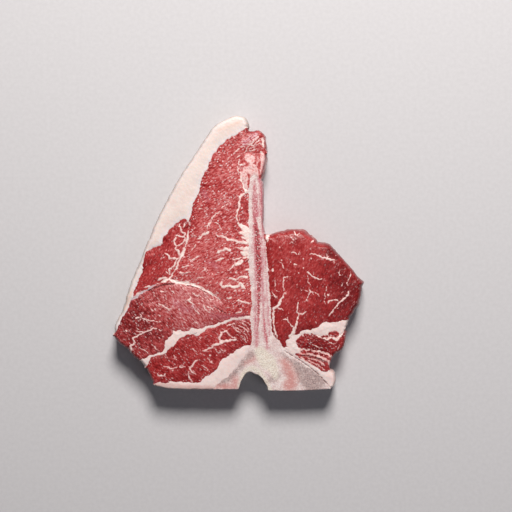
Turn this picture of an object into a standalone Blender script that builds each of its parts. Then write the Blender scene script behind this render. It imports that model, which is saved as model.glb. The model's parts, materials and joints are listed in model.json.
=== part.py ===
"""Raw T-bone steak, lying flat: bone, muscles and fat as one solid each.

The steak is a map of regions.  Every seam between two regions is one smooth curve through a few points,
and each region is the loop of the seams round it.  A region becomes a solid by running its outline through
the thickness of the cut, with a domed top, a flat underside and a rounded rim where it meets the outside.
Lengths are in millimetres; the mesh is written in metres.  +Z is up and the underside lies on Z = 0.
"""

import bmesh
import bpy
import numpy as np
from mathutils import Vector
from mathutils.geometry import delaunay_2d_cdt

METRES = 0.001

# Driving dimensions
THICKNESS = 27.0  # of the cut, at the seams
SEAM_GAP = 0.3  # clearance between neighbouring solids
SEAM_STEP = 3.6  # length of an outline facet
TOP_GRID = 7.5  # spacing of the points that carry the domed top
DOME_REACH = 6.0  # how far from its seams a muscle reaches its full height
SWELL = 0.5  # slow rise and fall of the whole cut face
LOWER_RIM = 2.2  # radius of the edge round the underside

# Where three regions meet, or two regions and the outside
JUNCTIONS = {
    "tip": (7.4, 99.9),
    "rib_top": (23.0, 80.4),
    "rib_end": (18.3, 58.6),
    "armpit": (21.4, 14.8),
    "fillet_corner": (88.5, -53.2),
    "wedge_corner": (85.8, -60.8),
    "strap_corner": (75.8, -83.3),
    "strip_corner": (73.6, -94.2),
    "body_corner": (74.4, -109.2),
    "canal_right": (24.2, -110.5),
    "canal_left": (0.3, -109.4),
    "arch_foot": (-19.0, -109.4),
    "chine_corner": (-67.6, -105.2),
    "back_corner": (-73.8, -92.8),
    "loin_corner": (-79.2, -85.8),
    "cap_foot": (-99.7, -66.6),
    "cap_fork": (-39.5, 25.0),
    "cap_low": (-85.2, -37.6),
    "loin_fork": (-54.3, -20.8),
    "rib_left": (8.3, 50.0),
    "seam_upper": (9.8, -50.6),
    "seam_lower": (9.6, -53.4),
    "loin_meet": (-9.6, -53.9),
    "arch_top": (10.6, -74.6),
    "fillet_toe": (36.2, -75.6),
    "strap_toe": (50.0, -76.8),
}

# Outside edge, clockwise from the top.  Each entry: from, points between, to
RIM_SEAMS = {
    "loin_top": ("tip", [(8.6, 97.5), (12.5, 97.3), (15.5, 98.0), (18.6, 97.2), (21.6, 92.3)], "rib_top"),
    "rib_tip_side": ("rib_top", [(19.7, 62.0)], "rib_end"),
    "rib_side": ("rib_end", [(19.8, 54.0), (20.2, 36.0), (19.8, 23.0)], "armpit"),
    "fillet_rim": ("armpit", [(25.2, 14.1), (41.0, 17.8), (51.0, 17.6), (60.6, 11.5), (64.7, 7.5),
                              (73.0, 6.6), (77.5, 1.4), (85.0, -6.3), (97.8, -21.2), (100.3, -24.4),
                              (99.4, -27.5), (98.6, -35.0), (96.2, -42.6)], "fillet_corner"),
    "wedge_rim": ("fillet_corner", [(87.2, -59.2)], "wedge_corner"),
    "strap_rim": ("wedge_corner", [(86.3, -63.5), (85.5, -73.0), (82.3, -79.0),
                                   (77.0, -81.9)], "strap_corner"),
    "strip_rim": ("strap_corner", [(75.6, -85.2), (73.4, -89.3)], "strip_corner"),
    "ligament_rim": ("strip_corner", [(76.0, -95.8), (78.1, -102.5), (76.2, -109.0)], "body_corner"),
    "body_foot": ("body_corner", [(45.0, -110.6)], "canal_right"),
    "canal": ("canal_right", [(23.7, -107.6), (18.4, -100.0), (10.6, -95.5), (6.1, -97.0),
                              (2.8, -102.0)], "canal_left"),
    "arch_base": ("canal_left", [], "arch_foot"),
    "chine_base": ("arch_foot", [(-50.0, -108.9), (-63.5, -107.0)], "chine_corner"),
    "back_rim": ("chine_corner", [], "back_corner"),
    "seam_rim": ("back_corner", [], "loin_corner"),
    "loin_rim": ("loin_corner", [(-81.3, -85.6), (-83.6, -83.6), (-89.5, -77.2),
                                 (-96.8, -71.2)], "cap_foot"),
    "cap_rim": ("cap_foot", [(-99.0, -57.5), (-92.4, -43.8), (-86.0, -21.5), (-79.6, -8.5), (-75.0, 4.5),
                             (-64.0, 29.3), (-48.0, 59.5), (-30.2, 86.3), (-20.4, 100.8), (-11.0, 107.2),
                             (-2.0, 110.5), (5.3, 108.6), (8.2, 102.6)], "tip"),
}

# Seams inside the steak
INNER_SEAMS = {
    "cap_to_loin": ("tip", [(-4.0, 93.2), (-12.0, 87.8), (-17.2, 81.6), (-20.4, 78.4), (-21.3, 75.0),
                            (-25.4, 66.0), (-27.6, 63.0), (-31.0, 49.5), (-34.8, 41.0)], "cap_fork"),
    "cap_to_side": ("cap_fork", [(-42.0, 26.6), (-46.0, 25.6), (-49.0, 23.0), (-54.4, 19.0),
                                 (-57.2, 14.5), (-59.2, 13.2), (-61.2, 8.0), (-61.8, 5.8), (-69.0, 3.0),
                                 (-74.5, -1.6), (-76.3, -12.0), (-76.4, -15.5), (-81.0, -25.0)], "cap_low"),
    "cap_to_lower": ("cap_low", [(-88.5, -46.5), (-93.8, -54.5), (-97.4, -63.0)], "cap_foot"),
    "side_to_loin": ("cap_fork", [(-39.9, 15.0), (-41.8, 6.0), (-49.2, -11.0)], "loin_fork"),
    "side_to_lower": ("cap_low", [(-75.0, -30.8), (-64.0, -25.0)], "loin_fork"),
    "loin_to_lower": ("loin_fork", [(-45.0, -24.0), (-36.0, -25.8), (-23.0, -31.8), (-11.5, -40.5),
                                    (-8.8, -49.5)], "loin_meet"),
    "loin_to_seam": ("loin_meet", [(-4.0, -52.0)], "seam_upper"),
    "lower_to_seam": ("loin_corner", [(-70.0, -81.8), (-61.5, -80.0), (-57.9, -74.5), (-58.6, -71.8),
                                      (-57.8, -70.0), (-54.5, -67.5), (-52.4, -64.5), (-52.4, -62.0),
                                      (-50.0, -63.0), (-47.0, -61.4), (-44.8, -61.6), (-43.0, -64.0),
                                      (-40.3, -62.6), (-38.3, -60.8), (-30.0, -60.7)], "loin_meet"),
    "seam_to_back": ("seam_lower", [(-4.0, -54.2), (-18.0, -59.4), (-23.0, -60.6), (-30.0, -65.0),
                                    (-33.0, -66.6), (-35.5, -65.2), (-39.0, -65.2), (-41.5, -67.0),
                                    (-45.0, -68.0), (-54.0, -76.6), (-57.5, -79.2), (-60.0, -81.9),
                                    (-69.0, -83.7), (-70.8, -86.5)], "back_corner"),
    "seam_to_bone": ("seam_upper", [], "seam_lower"),
    "loin_to_rib_fat": ("rib_left", [(5.2, 51.4), (3.8, 58.5), (2.6, 62.0), (3.0, 66.0), (4.0, 69.0),
                                     (2.4, 73.0), (6.0, 79.5), (10.0, 80.2), (14.0, 79.0),
                                     (17.0, 80.2)], "rib_top"),
    "rib_fat_to_bone": ("rib_left", [(10.0, 59.5), (12.2, 62.0), (15.0, 61.2)], "rib_end"),
    "loin_to_bone": ("rib_left", [(9.0, 22.0), (8.4, -5.0), (11.0, -38.0)], "seam_upper"),
    "back_to_bone": ("seam_lower", [(10.6, -57.5), (11.4, -71.0)], "arch_top"),
    "back_to_chine": ("arch_top", [(5.0, -74.3), (2.0, -76.0), (-12.0, -85.2), (-14.6, -87.7),
                                   (-15.6, -90.5), (-22.0, -97.3), (-27.9, -99.9), (-27.6, -102.4),
                                   (-35.0, -104.0), (-52.0, -103.0), (-56.0, -104.0), (-60.0, -104.0),
                                   (-63.0, -103.2)], "chine_corner"),
    "chine_to_bone": ("arch_top", [(-1.0, -91.5), (-8.5, -99.5), (-16.5, -106.0)], "arch_foot"),
    "bone_to_fillet": ("armpit", [(21.2, 9.0), (22.8, -2.0), (26.2, -44.0), (25.8, -50.0), (27.3, -61.0),
                                  (28.6, -66.0)], "fillet_toe"),
    "fillet_to_wedge": ("fillet_toe", [(38.6, -76.3), (40.5, -75.0), (38.8, -73.0), (39.0, -70.5),
                                       (43.8, -66.3), (49.0, -64.6), (51.0, -62.7), (54.0, -61.8),
                                       (58.0, -62.0), (64.0, -59.6), (66.0, -57.2), (70.0, -56.0),
                                       (75.0, -55.8)], "fillet_corner"),
    "wedge_to_strap": ("wedge_corner", [(82.7, -65.6), (80.5, -66.2), (79.0, -64.0), (73.5, -62.6),
                                        (71.0, -67.0), (69.4, -65.8), (64.0, -67.4), (61.8, -65.4),
                                        (59.5, -64.6), (57.0, -66.4), (54.8, -64.6), (52.0, -65.0),
                                        (46.2, -71.5)], "strap_toe"),
    "strap_to_strip": ("strap_toe", [(54.0, -78.2), (59.0, -78.4), (69.0, -80.3)], "strap_corner"),
    "wedge_to_strip": ("strap_toe", [(50.8, -79.2), (45.0, -80.6), (47.0, -82.2), (62.0, -91.7),
                                     (66.0, -94.5), (70.0, -95.4)], "strip_corner"),
    "wedge_to_bone": ("fillet_toe", [(41.0, -79.8), (51.0, -86.0), (63.0, -96.0),
                                     (72.5, -106.0)], "body_corner"),
}

# Each region: the seams round it, counter-clockwise, where a minus turns a seam round
REGIONS = {
    "fat_cap": ["-cap_rim", "-cap_to_lower", "-cap_to_side", "-cap_to_loin"],
    "cap_muscle": ["cap_to_side", "side_to_lower", "-side_to_loin"],
    "strip_loin": ["cap_to_loin", "side_to_loin", "loin_to_lower", "loin_to_seam", "-loin_to_bone",
                   "loin_to_rib_fat", "-loin_top"],
    "lower_loin": ["cap_to_lower", "-loin_rim", "lower_to_seam", "-loin_to_lower", "-side_to_lower"],
    "seam_fat": ["-seam_rim", "-seam_to_back", "-seam_to_bone", "-loin_to_seam", "-lower_to_seam"],
    "back_muscle": ["seam_to_back", "-back_rim", "-back_to_chine", "-back_to_bone"],
    "chine_fat": ["back_to_chine", "-chine_base", "-chine_to_bone"],
    "rib_fat": ["rib_fat_to_bone", "-rib_tip_side", "-loin_to_rib_fat"],
    "t_bone": ["loin_to_bone", "seam_to_bone", "back_to_bone", "chine_to_bone", "-arch_base", "-canal",
               "-body_foot", "-wedge_to_bone", "-bone_to_fillet", "-rib_side", "-rib_fat_to_bone"],
    "tenderloin": ["bone_to_fillet", "fillet_to_wedge", "-fillet_rim"],
    "tenderloin_fat": ["wedge_to_bone", "-ligament_rim", "-wedge_to_strip", "-wedge_to_strap", "-wedge_rim",
                       "-fillet_to_wedge"],
    "side_strap": ["wedge_to_strap", "strap_to_strip", "-strap_rim"],
    "chine_strip": ["wedge_to_strip", "-strip_rim", "-strap_to_strip"],
}

# How far each region stands proud of its seams, or sinks below them
DOMES = {
    "fat_cap": 0.8, "cap_muscle": 0.9, "strip_loin": 1.4, "lower_loin": 1.6, "seam_fat": 0.3,
    "back_muscle": 1.1, "chine_fat": 0.4, "rib_fat": 0.5, "t_bone": -0.5, "tenderloin": 2.0,
    "tenderloin_fat": 0.4, "side_strap": 1.0, "chine_strip": 0.5,
}

# Rounding of the upper rim: how far in it starts, and how far down it reaches
SOFT_RIM = (3.2, 5.5)
RIMS = {
    "cap_rim": (3.6, 12.0), "rib_tip_side": (2.2, 6.0), "rib_side": (1.6, 6.0), "fillet_rim": (4.2, 7.5),
    "ligament_rim": (2.4, 9.0), "strip_rim": (1.8, 4.0), "body_foot": (0.7, 0.7), "canal": (0.7, 0.7),
    "arch_base": (0.7, 0.7), "chine_base": (1.2, 1.4), "wedge_rim": (2.0, 4.0),
}
RIM_BLEND = 9  # samples over which one kind of rim runs into the next

# Colour and roughness of each kind of tissue
TISSUES = {
    "lean": ((0.43, 0.066, 0.060, 1.0), 0.38),
    "dark_lean": ((0.33, 0.040, 0.040, 1.0), 0.36),
    "fat": ((0.80, 0.66, 0.62, 1.0), 0.50),
    "cap_fat": ((0.84, 0.76, 0.70, 1.0), 0.52),
    "bone": ((0.66, 0.56, 0.52, 1.0), 0.55),
}
TISSUE_OF = {
    "fat_cap": "cap_fat", "cap_muscle": "lean", "strip_loin": "lean", "lower_loin": "lean", "seam_fat": "fat",
    "back_muscle": "dark_lean", "chine_fat": "fat", "rib_fat": "fat", "t_bone": "bone",
    "tenderloin": "dark_lean", "tenderloin_fat": "fat", "side_strap": "dark_lean", "chine_strip": "dark_lean",
}


def clear_scene():
    """An empty scene: no start-up objects."""
    for obj in list(bpy.data.objects):
        bpy.data.objects.remove(obj, do_unlink=True)


def smooth_curve(points, step):
    """A curve through the points, read off about every `step`: on each span a cubic whose end slopes follow the
    neighbouring points (a Catmull-Rom spline), then even spacing along its length."""
    points = np.asarray(points, float)
    padded = np.vstack([2 * points[0] - points[1], points, 2 * points[-1] - points[-2]])
    along = np.linspace(0, 1, 24, endpoint=False)[:, None]
    spans = []
    for a, b, c, d in zip(padded, padded[1:], padded[2:], padded[3:]):
        spans.append(0.5 * (2 * b + (c - a) * along + (2 * a - 5 * b + 4 * c - d) * along**2
                            + (3 * b - a - 3 * c + d) * along**3))
    dense = np.vstack([*spans, points[-1:]])
    length = np.concatenate([[0], np.cumsum(np.linalg.norm(np.diff(dense, axis=0), axis=1))])
    count = max(2, int(round(length[-1] / step)) + 1)
    even = np.linspace(0, length[-1], count)
    return np.stack([np.interp(even, length, dense[:, k]) for k in (0, 1)], axis=1)


def all_seams(step):
    """Every seam as an array of points, by name."""
    drawn = {}
    for name, (start, between, end) in {**RIM_SEAMS, **INNER_SEAMS}.items():
        drawn[name] = smooth_curve([JUNCTIONS[start], *between, JUNCTIONS[end]], step)
    return drawn


def region_loop(region, seams):
    """The region's outline, and for each of its edges whether it lies on the outside of the steak."""
    points, outside = [], []
    for entry in REGIONS[region]:
        name = entry.lstrip("-")
        run = seams[name][::-1] if entry.startswith("-") else seams[name]
        points.append(run[:-1])
        outside.append(np.full(len(run) - 1, name in RIM_SEAMS))
    return np.vstack(points), np.concatenate(outside)


def pulled_in(loop, outside, gap):
    """The loop with every inner edge moved `gap` into the region, and the outside edges left where they are.
    Each corner moves to where its two shifted edges meet."""
    edges = np.roll(loop, -1, axis=0) - loop
    edges /= np.linalg.norm(edges, axis=1, keepdims=True)
    inward = np.stack([-edges[:, 1], edges[:, 0]], axis=1)
    shift = np.where(outside, 0.0, gap)
    before, shift_before = np.roll(inward, 1, axis=0), np.roll(shift, 1)
    turn = before[:, 0] * inward[:, 1] - before[:, 1] * inward[:, 0]
    safe = np.where(np.abs(turn) < 0.05, 1.0, turn)
    meet = np.stack([(shift_before * inward[:, 1] - shift * before[:, 1]) / safe,
                     (before[:, 0] * shift - inward[:, 0] * shift_before) / safe], axis=1)
    straight = (before + inward) * ((shift + shift_before) / 4)[:, None]
    move = np.where(np.abs(turn)[:, None] < 0.05, straight, meet)
    size = np.linalg.norm(move, axis=1, keepdims=True)
    return loop + move * np.minimum(1, 3 * gap / np.maximum(size, 1e-9))


def inside(points, loop):
    """Whether each point lies inside the loop, by counting the edges that a ray to +X crosses."""
    x, y = points[:, :1], points[:, 1:]
    (ax, ay), (bx, by) = loop.T, np.roll(loop, -1, axis=0).T
    straddles = (ay > y) != (by > y)
    rise = np.where(by == ay, 1.0, by - ay)
    crossings = straddles & (x < (bx - ax) * (y - ay) / rise + ax)
    return crossings.sum(axis=1) % 2 == 1


def distance_to(points, loop):
    """Distance of each point from the closed loop, and the number of the nearest edge."""
    start, run = loop, np.roll(loop, -1, axis=0) - loop
    length2 = np.maximum((run**2).sum(axis=1), 1e-12)
    to_point = points[:, None] - start
    share = np.clip((to_point * run).sum(axis=2) / length2, 0, 1)
    gaps = np.linalg.norm(to_point - share[..., None] * run, axis=2)
    return gaps.min(axis=1), gaps.argmin(axis=1)


class Outside:
    """The outline of the whole steak, with how its rim is rounded along the way."""

    def __init__(self, seams):
        runs = [seams[name][:-1] for name in RIM_SEAMS]
        sizes = [np.tile(RIMS.get(name, SOFT_RIM), (len(run), 1)) for name, run in zip(RIM_SEAMS, runs)]
        self.loop = np.vstack(runs)
        sizes = np.vstack(sizes).astype(float)
        window = np.ones(RIM_BLEND) / RIM_BLEND
        half = RIM_BLEND // 2
        wrapped = np.vstack([sizes[-half:], sizes, sizes[:half]])
        blended = np.stack([np.convolve(wrapped[:, k], window, "valid") for k in (0, 1)], axis=1)
        self.rim = np.minimum(blended, np.maximum(sizes, 0.6))
        edges = np.roll(self.loop, -1, axis=0) - np.roll(self.loop, 1, axis=0)
        edges /= np.linalg.norm(edges, axis=1, keepdims=True)
        self.inward = np.stack([edges[:, 1], -edges[:, 0]], axis=1)  # the loop runs clockwise

    def drop(self, points):
        """How far the upper rim has fallen at each point: a quarter ellipse that ends on the outline."""
        gap, nearest = distance_to(points, self.loop)
        reach, depth = self.rim[nearest].T
        lean = np.clip(1 - gap / reach, 0, 1)
        return depth * (1 - np.sqrt(1 - lean**2))

    def rise(self, points):
        """How far the lower rim has risen off the ground at each point."""
        gap, nearest = distance_to(points, self.loop)
        radius = np.minimum(LOWER_RIM, self.rim[nearest, 0])
        lean = np.clip(1 - gap / radius, 0, 1)
        return radius * (1 - np.sqrt(1 - lean**2))

    def rings(self):
        """Points just inside the outline, where the rounding of the rim needs them."""
        shares = (0.12, 0.45, 1.0)
        return np.vstack([self.loop + self.inward * (share * self.rim[:, :1]) for share in shares])


def grid_points(loop, spacing):
    """Staggered rows of points over the loop's box."""
    low, high = loop.min(axis=0), loop.max(axis=0)
    rows = np.arange(low[1], high[1], spacing * 0.866)
    columns = np.arange(low[0], high[0], spacing)
    x, y = np.meshgrid(columns, rows)
    x[1::2] += spacing / 2
    return np.stack([x.ravel(), y.ravel()], axis=1)


def filled(loop, extra, clear):
    """Triangles that fill the loop, using the extra points that lie inside it and at least `clear` from it."""
    extra = extra[inside(extra, loop)]
    extra = extra[distance_to(extra, loop)[0] > clear]
    spots = np.vstack([loop, extra])
    edges = [(i, (i + 1) % len(loop)) for i in range(len(loop))]
    found, _, faces, origins, _, _ = delaunay_2d_cdt([Vector(p) for p in spots], edges, [], 1, 1e-5)
    place = {origin: k for k, group in enumerate(origins) for origin in group}
    ring = [place[i] for i in range(len(loop))]
    return np.array([tuple(p) for p in found]), faces, ring


def thinned(points, least):
    """The points with those dropped that crowd an earlier one."""
    kept = []
    for point in points:
        if not kept or np.linalg.norm(np.array(kept) - point, axis=1).min() > least:
            kept.append(point)
    return np.array(kept)


def cut_face_height(points, loop, dome):
    """Height of the upper cut face: level at the seams, domed between them, with a slow swell over the steak."""
    gap, _ = distance_to(points, loop)
    swell = SWELL * np.sin(points[:, 0] / 31) * np.cos(points[:, 1] / 37)
    return THICKNESS + swell + dome * (1 - np.exp(-gap / DOME_REACH))


def build_region(region, seams, outside, centre, collection, material):
    """One tissue region as a closed solid: domed top, flat underside, and a wall round its outline."""
    loop, on_rim = region_loop(region, seams)
    loop = pulled_in(loop, on_rim, SEAM_GAP / 2)
    upper_extra = thinned(np.vstack([outside.rings(), grid_points(loop, TOP_GRID)]), 0.5)
    lower_extra = outside.loop + outside.inward * LOWER_RIM
    top, top_faces, top_ring = filled(loop, upper_extra, 0.35)
    low, low_faces, low_ring = filled(loop, lower_extra, 0.8)
    top_z = cut_face_height(top, loop, DOMES[region]) - outside.drop(top)
    low_z = outside.rise(low)

    mesh = bmesh.new()
    uppers = [mesh.verts.new(((x - centre[0]) * METRES, (y - centre[1]) * METRES, z * METRES))
              for (x, y), z in zip(top, top_z)]
    lowers = [mesh.verts.new(((x - centre[0]) * METRES, (y - centre[1]) * METRES, z * METRES))
              for (x, y), z in zip(low, low_z)]
    for face in top_faces:
        mesh.faces.new([uppers[i] for i in face])
    for face in low_faces:
        mesh.faces.new([lowers[i] for i in reversed(face)])
    for i in range(len(loop)):
        k = (i + 1) % len(loop)
        mesh.faces.new([lowers[low_ring[i]], lowers[low_ring[k]], uppers[top_ring[k]], uppers[top_ring[i]]])
    bmesh.ops.recalc_face_normals(mesh, faces=mesh.faces[:])
    bmesh.ops.triangulate(mesh, faces=mesh.faces[:])

    data = bpy.data.meshes.new(region)
    mesh.to_mesh(data)
    mesh.free()
    data.shade_smooth()
    data.set_sharp_from_angle(angle=np.radians(40))
    data.materials.append(material)
    obj = bpy.data.objects.new(region, data)
    collection.objects.link(obj)
    return obj


def tissue_material(name):
    """A plain Principled material in the tissue's colour."""
    colour, roughness = TISSUES[name]
    material = bpy.data.materials.new(name)
    material.use_nodes = True
    shader = material.node_tree.nodes["Principled BSDF"]
    shader.inputs["Base Color"].default_value = colour
    shader.inputs["Roughness"].default_value = roughness
    shader.inputs["Metallic"].default_value = 0.0
    return material


def main():
    clear_scene()
    collection = bpy.data.collections.new("t_bone_steak")
    bpy.context.scene.collection.children.link(collection)
    seams = all_seams(SEAM_STEP)
    outside = Outside(seams)
    centre = (outside.loop.min(axis=0) + outside.loop.max(axis=0)) / 2
    materials = {name: tissue_material(name) for name in TISSUES}
    for region in REGIONS:
        build_region(region, seams, outside, centre, collection, materials[TISSUE_OF[region]])


main()
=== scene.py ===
"""Raw T-bone steak: the finish of every tissue on the CAD outlines, on a pale floor under soft light.

Each CAD node is replaced by one closed mesh with the same outline.  What lies on the cut face - fat veins,
flecks, clefts with their painted shade, marrow, broad shades of red with patches of painted sheen - is laid
out once on a chart of the whole steak, a fine grid of cells in millimetres, and every mesh reads its heights
and its colour attributes from that chart.
"""

import math

import bmesh
import bpy
import numpy as np
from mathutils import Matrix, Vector
from mathutils.geometry import delaunay_2d_cdt
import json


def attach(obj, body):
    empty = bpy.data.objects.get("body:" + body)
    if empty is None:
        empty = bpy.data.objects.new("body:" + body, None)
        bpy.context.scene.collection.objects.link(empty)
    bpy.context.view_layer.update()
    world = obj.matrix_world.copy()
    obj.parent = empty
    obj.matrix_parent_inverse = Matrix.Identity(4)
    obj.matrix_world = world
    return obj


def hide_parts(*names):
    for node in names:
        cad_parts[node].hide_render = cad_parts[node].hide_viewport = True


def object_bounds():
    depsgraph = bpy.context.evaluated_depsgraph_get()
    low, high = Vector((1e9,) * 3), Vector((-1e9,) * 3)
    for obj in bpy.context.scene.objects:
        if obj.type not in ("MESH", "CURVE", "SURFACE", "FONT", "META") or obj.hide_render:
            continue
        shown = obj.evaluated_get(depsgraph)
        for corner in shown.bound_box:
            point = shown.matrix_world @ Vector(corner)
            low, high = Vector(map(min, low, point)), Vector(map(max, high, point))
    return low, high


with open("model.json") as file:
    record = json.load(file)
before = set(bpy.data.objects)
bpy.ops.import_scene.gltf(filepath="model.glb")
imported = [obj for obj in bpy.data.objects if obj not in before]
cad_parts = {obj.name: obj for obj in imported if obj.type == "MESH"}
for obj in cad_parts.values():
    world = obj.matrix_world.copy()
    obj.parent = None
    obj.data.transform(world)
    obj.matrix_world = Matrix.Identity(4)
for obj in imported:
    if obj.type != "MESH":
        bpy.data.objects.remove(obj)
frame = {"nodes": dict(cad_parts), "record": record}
cad_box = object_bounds()

# ---------------------------------------------------------------- sizes, in millimetres
METRES = 0.001
CELL = 0.25  # of the chart
MARGIN = 8.0  # of the chart beyond the steak
FACET = 0.5  # spacing of the points on the cut face and along the outlines
FINE_BAND = 0.3  # the net is as fine as the chart within this distance of a vein's edge
UNDER_FACET = 2.0  # the same on the underside
WALL_ROWS = 14
UNDER_SHIFT = (1.3, -0.9)  # the veins run on a slant, so they come out a little aside underneath
SEAM_LEVEL = 27.0  # height of the cut face along the seams
SWELL = 0.5
DOME_REACH = 6.0
LOWER_RIM = 2.2
SAWN_REACH = 25.0
CHART_ORIGIN = (0.25, -0.12)  # the strokes below are laid out from this point of the steak

LOW = np.array(cad_box[0])[:2] / METRES - MARGIN
HIGH = np.array(cad_box[1])[:2] / METRES + MARGIN
SHAPE = tuple(int(n) for n in np.ceil((HIGH - LOW)[::-1] / CELL))  # rows, columns

# How far each tissue stands proud of its seams
DOMES = {
    "fat_cap": 0.8, "cap_muscle": 0.9, "strip_loin": 1.4, "lower_loin": 1.6, "seam_fat": 0.3,
    "back_muscle": 1.1, "chine_fat": 0.4, "rib_fat": 0.5, "t_bone": 0.1, "tenderloin": 2.0,
    "tenderloin_fat": 0.4, "side_strap": 1.0, "chine_strip": 0.5,
}
# Rounding of the outer rim: how far in it starts, and how far down it reaches
RIMS = {
    "fat_cap": (3.6, 12.0), "rib_fat": (2.2, 6.0), "t_bone": (0.7, 0.7), "chine_fat": (1.2, 1.4),
    "tenderloin": (4.2, 7.5), "tenderloin_fat": (2.2, 6.5), "chine_strip": (1.8, 4.0),
}
SOFT_RIM = (3.2, 5.5)
# Sawn bone and firm fat are smoother than lean: their share of the unevenness
CALM = {"t_bone": 0.15, "fat_cap": 0.45, "chine_fat": 0.5, "seam_fat": 0.7}
RIB_RIM = (1.6, 6.0)

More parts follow.
